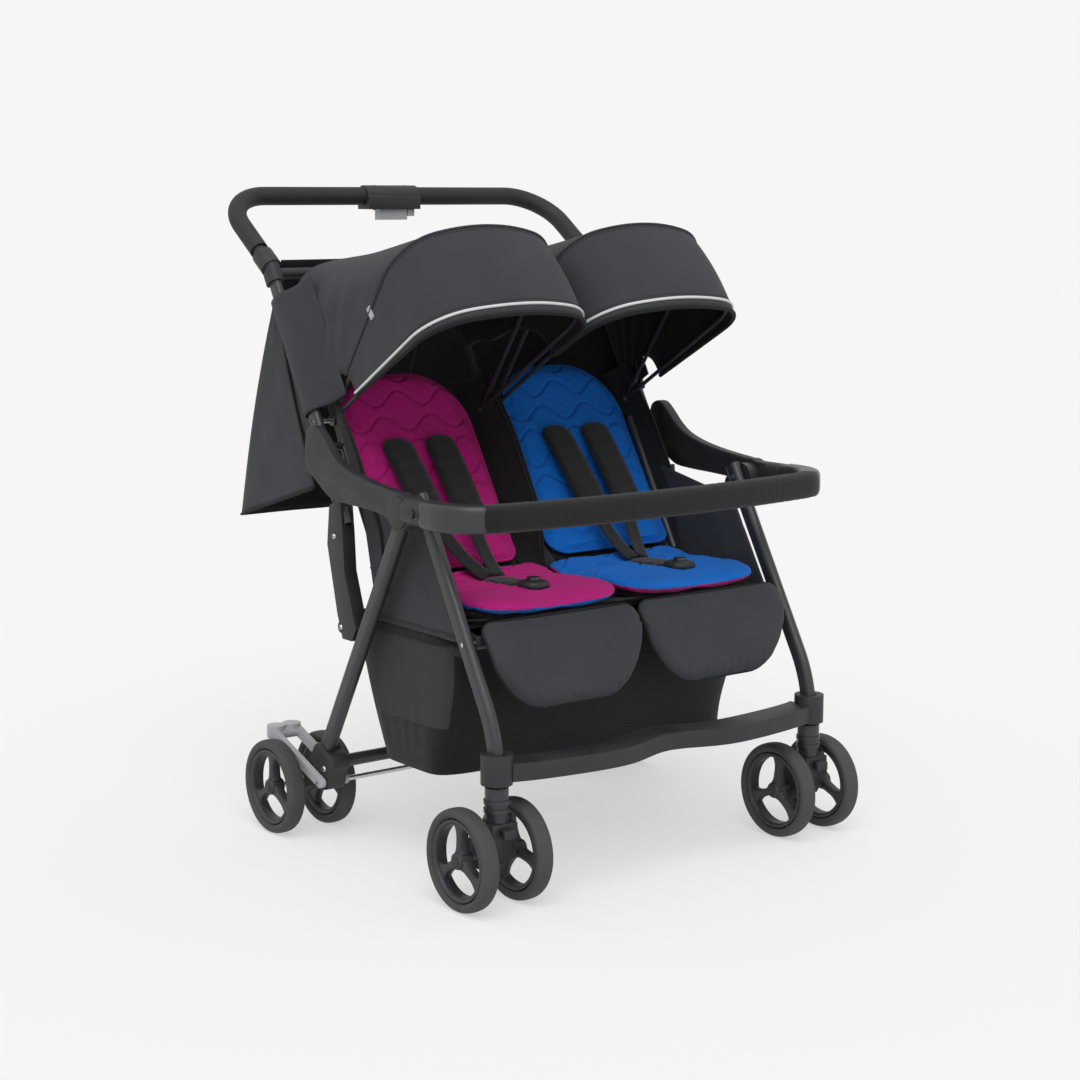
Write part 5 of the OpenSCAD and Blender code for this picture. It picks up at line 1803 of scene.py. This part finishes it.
def build_stitch_tree():
    tree, src, out = geometry_tree("Stitch row", [("Length", "NodeSocketFloat", 0.0042),
                                                  ("Pitch", "NodeSocketFloat", 0.0062),
                                                  ("Thread", "NodeSocketFloat", 0.0005)])
    curve = tree.nodes.new("GeometryNodeMeshToCurve")
    even = tree.nodes.new("GeometryNodeResampleCurve")
    even.mode = "LENGTH"
    bead = tree.nodes.new("GeometryNodeMeshUVSphere")
    bead.inputs["Segments"].default_value = 6
    bead.inputs["Rings"].default_value = 4
    half = math_node(tree, "MULTIPLY", src.outputs["Length"], 0.5)
    size = tree.nodes.new("ShaderNodeCombineXYZ")
    stretch = tree.nodes.new("GeometryNodeTransform")
    tangent = tree.nodes.new("GeometryNodeInputTangent")
    tree.links.new(src.outputs["Geometry"], curve.inputs["Mesh"])
    tree.links.new(curve.outputs["Curve"], even.inputs["Curve"])
    tree.links.new(src.outputs["Pitch"], even.inputs["Length"])
    tree.links.new(src.outputs["Thread"], size.inputs["X"])
    tree.links.new(src.outputs["Thread"], size.inputs["Y"])
    tree.links.new(half, size.inputs["Z"])
    tree.links.new(bead.outputs["Mesh"], stretch.inputs["Geometry"])
    tree.links.new(size.outputs["Vector"], stretch.inputs["Scale"])
    spread_and_paint(tree, src, out, even.outputs["Curve"], stretch.outputs["Geometry"],
                     tangent.outputs["Tangent"])
    return tree


def build_head_tree():
    tree, src, out = geometry_tree("Fastener heads", [("Radius", "NodeSocketFloat", 0.004),
                                                      ("Height", "NodeSocketFloat", 0.002),
                                                      ("Sides", "NodeSocketInt", 20)])
    head = tree.nodes.new("GeometryNodeMeshCone")
    facing = tree.nodes.new("GeometryNodeInputNamedAttribute")
    facing.data_type = "FLOAT_VECTOR"
    facing.inputs["Name"].default_value = "facing"
    crown = math_node(tree, "MULTIPLY", src.outputs["Radius"], 0.8)
    tree.links.new(src.outputs["Sides"], head.inputs["Vertices"])
    tree.links.new(crown, head.inputs["Radius Top"])
    tree.links.new(src.outputs["Radius"], head.inputs["Radius Bottom"])
    tree.links.new(src.outputs["Height"], head.inputs["Depth"])
    spread_and_paint(tree, src, out, src.outputs["Geometry"], head.outputs["Mesh"],
                     facing.outputs["Attribute"])
    return tree


TREES = {}


def grown(obj, kind, values):
    """Turns a piece's points or lines into what the named tree makes of them, as a plain mesh."""
    if kind not in TREES:
        TREES[kind] = build_stitch_tree() if kind == "stitches" else build_head_tree()
    tree = TREES[kind]
    mod = obj.modifiers.new(tree.name, "NODES")
    mod.node_group = tree
    for item in tree.interface.items_tree:
        if item.in_out == "INPUT" and item.name in values:
            mod[item.identifier] = values[item.name]
    return apply_modifiers(obj)


def line_object(name, paths):
    """Open lines of points as one mesh of edges."""
    verts = []
    edges = []
    for path in paths:
        first = len(verts)
        verts += [tuple(p) for p in path]
        edges += [(first + i, first + i + 1) for i in range(len(path) - 1)]
    mesh = bpy.data.meshes.new(name)
    mesh.from_pydata(verts, edges, [])
    return new_object(name, mesh)


def stitched(name, paths, body, slot):
    """Rows of stitches along paths, riding on a body."""
    obj = line_object(name, paths)
    length = sizes().stitch
    grown(obj, "stitches", {"Length": length, "Pitch": length * 1.5, "Thread": 0.0006,
                            "Material": finish("thread")})
    return dress(obj, None, body, slot)


def on_surface(node, start, direction):
    """Where a line from start meets a CAD node, with the surface's own direction there."""
    mesh = frame["nodes"][node].data
    tree = BVHTree.FromPolygons([v.co for v in mesh.vertices], [tuple(f.vertices) for f in mesh.polygons])
    place, normal, _, _ = tree.ray_cast(start, direction)
    if place is None:
        raise ValueError("no surface of " + node + " there")
    return place, normal if normal.dot(direction) < 0 else -normal


# Screws on each node: the way they face, then places and radii.
HEADS = (
    ("latch_housings", "x", (((362, 490), 0.0042), ((346, 352), 0.0042))),
    ("rear_housings", "x", (((466, 92), 0.0040), ((400, 118), 0.0048))),
    ("fold_housing", "z", (((-30, 708), 0.0032), ((30, 708), 0.0032))),
)
# A head and a dark disc on it, painted shade where its socket's recess would be: share of the radius, height, lift
# and finish.
HEAD_LAYERS = ((1.0, 0.0016, 0.0, "steel"), (0.5, 0.0004, 0.00152, "plastic"))


class STROLLER_OT_fasteners(Operator):
    """Screw heads on the mouldings, each with a dark disc on it as painted shade for its socket"""
    bl_idname = "stroller.fasteners"
    bl_label = "Fasteners"

    def execute(self, context):
        for node, way, places in HEADS:
            heads = []
            for (a, b), radius in places:
                for side in (-1, 1):
                    if way == "x":
                        start = side_point(side * 900, a, b)
                        direction = Vector((-side, 0, 0))
                    else:
                        start = side_point(a, b, 1400 if side > 0 else 600)
                        direction = Vector((0, 0, -side))
                    heads.append((*on_surface(node, start, direction), radius))
            groups = []
            # The second layer paints the shade of a socket as a flat dark disc on the head.
            for share, height, lift, material in HEAD_LAYERS:
                for radius in sorted({h[2] for h in heads}):
                    points = [p + n * lift for p, n, r in heads if r == radius]
                    mesh = bpy.data.meshes.new(node + "_heads")
                    mesh.from_pydata([tuple(p) for p in points], [], [])
                    facing = mesh.attributes.new("facing", "FLOAT_VECTOR", "POINT")
                    facing.data.foreach_set("vector", [c for _, n, r in heads if r == radius for c in n])
                    obj = new_object(node + "_heads", mesh)
                    values = {"Radius": radius * share, "Height": height, "Sides": sizes().screws,
                              "Material": finish(material)}
                    groups.append(grown(obj, "heads", values))
            whole = joined(node + "_screws", groups)
            shade_by_angle(whole, 30)
            dress(whole, None, body_of_node(node), "steel")
        return {"FINISHED"}


class STROLLER_OT_stitches(Operator):
    """Rows of stitches along the seams of the hoods and calf rests"""
    bl_idname = "stroller.stitches"
    bl_label = "Stitches"

    def execute(self, context):
        for name, side in SIDES:
            hood = [hood_row(side, HOOD_SEAM + a, lift=0.4) for a in (-1.0, 1.0)]
            hood.append(hood_row(side, HOOD_FRONT - 3.6, lift=0.4))
            stitched("canopy_" + name + "_stitches", hood, "canopy_" + name, "canopy_cloth")
            calf = []
            for x in range(-124, 125, 4):
                v = calf_seam(x) - 5
                calf.append(CALF_PLANE.at(side * CALF_X + x * calf_share(v), v + 3, 17.8 + calf_form(x, v)))
            stitched("calf_" + name + "_stitches", [calf], "calf_" + name, "canopy_cloth")
        return {"FINISHED"}


# Stage

CAMERA_AT = Vector((-2.0291, -2.3959, 1.0))
CAMERA_HEADING = math.radians(37.15)
CAMERA_DOWN = math.radians(9.09)
PHOTO_FOCAL = 2150.0
PHOTO_SIDE = 1080.0
SKY_LEVEL = 0.60
SUN_LEVEL = 1.55


class STROLLER_OT_stage(Operator):
    """Floor, even studio light and the camera"""
    bl_idname = "stroller.stage"
    bl_label = "Stage"

    def execute(self, context):
        scene = context.scene
        scene.view_settings.view_transform = "Standard"
        half = 60.0
        corners = [(-half, -half, 0), (half, -half, 0), (half, half, 0), (-half, half, 0)]
        floor = mesh_object("floor", corners, [(0, 1, 2, 3)], False)
        floor.data.materials.append(self.floor_material())
        self.world(scene)
        self.sun("key", (-1.1, -1.5, 2.6), SUN_LEVEL, 50)
        data = bpy.data.cameras.new("camera")
        data.sensor_width = 36.0
        data.lens = 36.0 * PHOTO_FOCAL / PHOTO_SIDE
        camera = new_object("camera", data)
        camera.location = CAMERA_AT + Vector((0, FRONT_AXLE.y, 0))
        level_part = math.cos(CAMERA_DOWN)
        look = Vector((math.sin(CAMERA_HEADING) * level_part, math.cos(CAMERA_HEADING) * level_part,
                       -math.sin(CAMERA_DOWN)))
        camera.rotation_euler = look.to_track_quat("-Z", "Y").to_euler()
        scene.camera = camera
        return {"FINISHED"}

    def sun(self, name, place, strength, spread):
        data = bpy.data.lights.new(name, "SUN")
        data.energy = strength
        data.angle = math.radians(spread)
        lamp = new_object(name, data)
        lamp.location = place
        lamp.rotation_euler = (-Vector(place)).to_track_quat("-Z", "Y").to_euler()

    def seen_directly(self, tree, plain, seen):
        """Shows seen to the camera, mirrors and glass, and plain to all other light."""
        path = tree.nodes.new("ShaderNodeLightPath")
        rays = math_node(tree, "MAXIMUM", path.outputs["Is Camera Ray"], path.outputs["Is Glossy Ray"])
        rays = math_node(tree, "MAXIMUM", rays, path.outputs["Is Transmission Ray"])
        pick = tree.nodes.new("ShaderNodeMixShader")
        tree.links.new(rays, pick.inputs[0])
        tree.links.new(plain, pick.inputs[1])
        tree.links.new(seen, pick.inputs[2])
        return pick.outputs[0]

    def world(self, scene):
        world = bpy.data.worlds.new("studio")
        scene.world = world
        world.use_nodes = True
        tree = world.node_tree
        back = tree.nodes["Background"]
        back.inputs["Color"].default_value = (1.0, 1.0, 1.0, 1.0)
        back.inputs["Strength"].default_value = SKY_LEVEL
        seen = tree.nodes.new("ShaderNodeBackground")
        seen.inputs["Color"].default_value = (*colours().floor, 1.0)
        seen.inputs["Strength"].default_value = 1.0
        shown = self.seen_directly(tree, back.outputs[0], seen.outputs[0])
        tree.links.new(shown, tree.nodes["World Output"].inputs["Surface"])

    def floor_material(self):
        """Pale floor that keeps a soft shadow and otherwise shows its own colour."""
        mat = bpy.data.materials.new("Pale floor")
        mat.use_nodes = True
        tree = mat.node_tree
        shader = tree.nodes["Principled BSDF"]
        shader.inputs["Base Color"].default_value = (*colours().floor, 1.0)
        shader.inputs["Roughness"].default_value = 0.9
        shader.inputs["Specular IOR Level"].default_value = 0.0
        glow = tree.nodes.new("ShaderNodeEmission")
        glow.inputs["Color"].default_value = (*colours().floor, 1.0)
        lit = tree.nodes.new("ShaderNodeMixShader")
        lit.inputs[0].default_value = 0.55
        tree.links.new(shader.outputs[0], lit.inputs[1])
        tree.links.new(glow.outputs[0], lit.inputs[2])
        seen = self.seen_directly(tree, shader.outputs[0], lit.outputs[0])
        tree.links.new(seen, tree.nodes["Material Output"].inputs["Surface"])
        return mat


class STROLLER_PT_panel(Panel):
    """Lists the steps that dress the stroller"""
    bl_idname = "STROLLER_PT_panel"
    bl_label = "Stroller"
    bl_space_type = "VIEW_3D"
    bl_region_type = "UI"
    bl_category = "Stroller"

    def draw(self, context):
        for step in STEPS:
            self.layout.operator(step.bl_idname)


STEPS = (STROLLER_OT_stage, STROLLER_OT_frame, STROLLER_OT_mouldings, STROLLER_OT_wheels,
         STROLLER_OT_seats, STROLLER_OT_backs, STROLLER_OT_wings, STROLLER_OT_calves, STROLLER_OT_harness,
         STROLLER_OT_hoods, STROLLER_OT_curtains, STROLLER_OT_wraps, STROLLER_OT_basket, STROLLER_OT_panels,
         STROLLER_OT_bumper, STROLLER_OT_fasteners, STROLLER_OT_stitches)
CLASSES = (StrollerColours, StrollerSizes, *STEPS, STROLLER_PT_panel)


def register():
    for cls in CLASSES:
        bpy.utils.register_class(cls)
    bpy.types.Scene.stroller_colours = PointerProperty(type=StrollerColours)
    bpy.types.Scene.stroller_sizes = PointerProperty(type=StrollerSizes)


def unregister():
    del bpy.types.Scene.stroller_sizes
    del bpy.types.Scene.stroller_colours
    for cls in reversed(CLASSES):
        bpy.utils.unregister_class(cls)


def main():
    register()
    for step in STEPS:
        group, call = step.bl_idname.split(".")
        getattr(getattr(bpy.ops, group), call)()


if __name__ == "__main__":
    main()
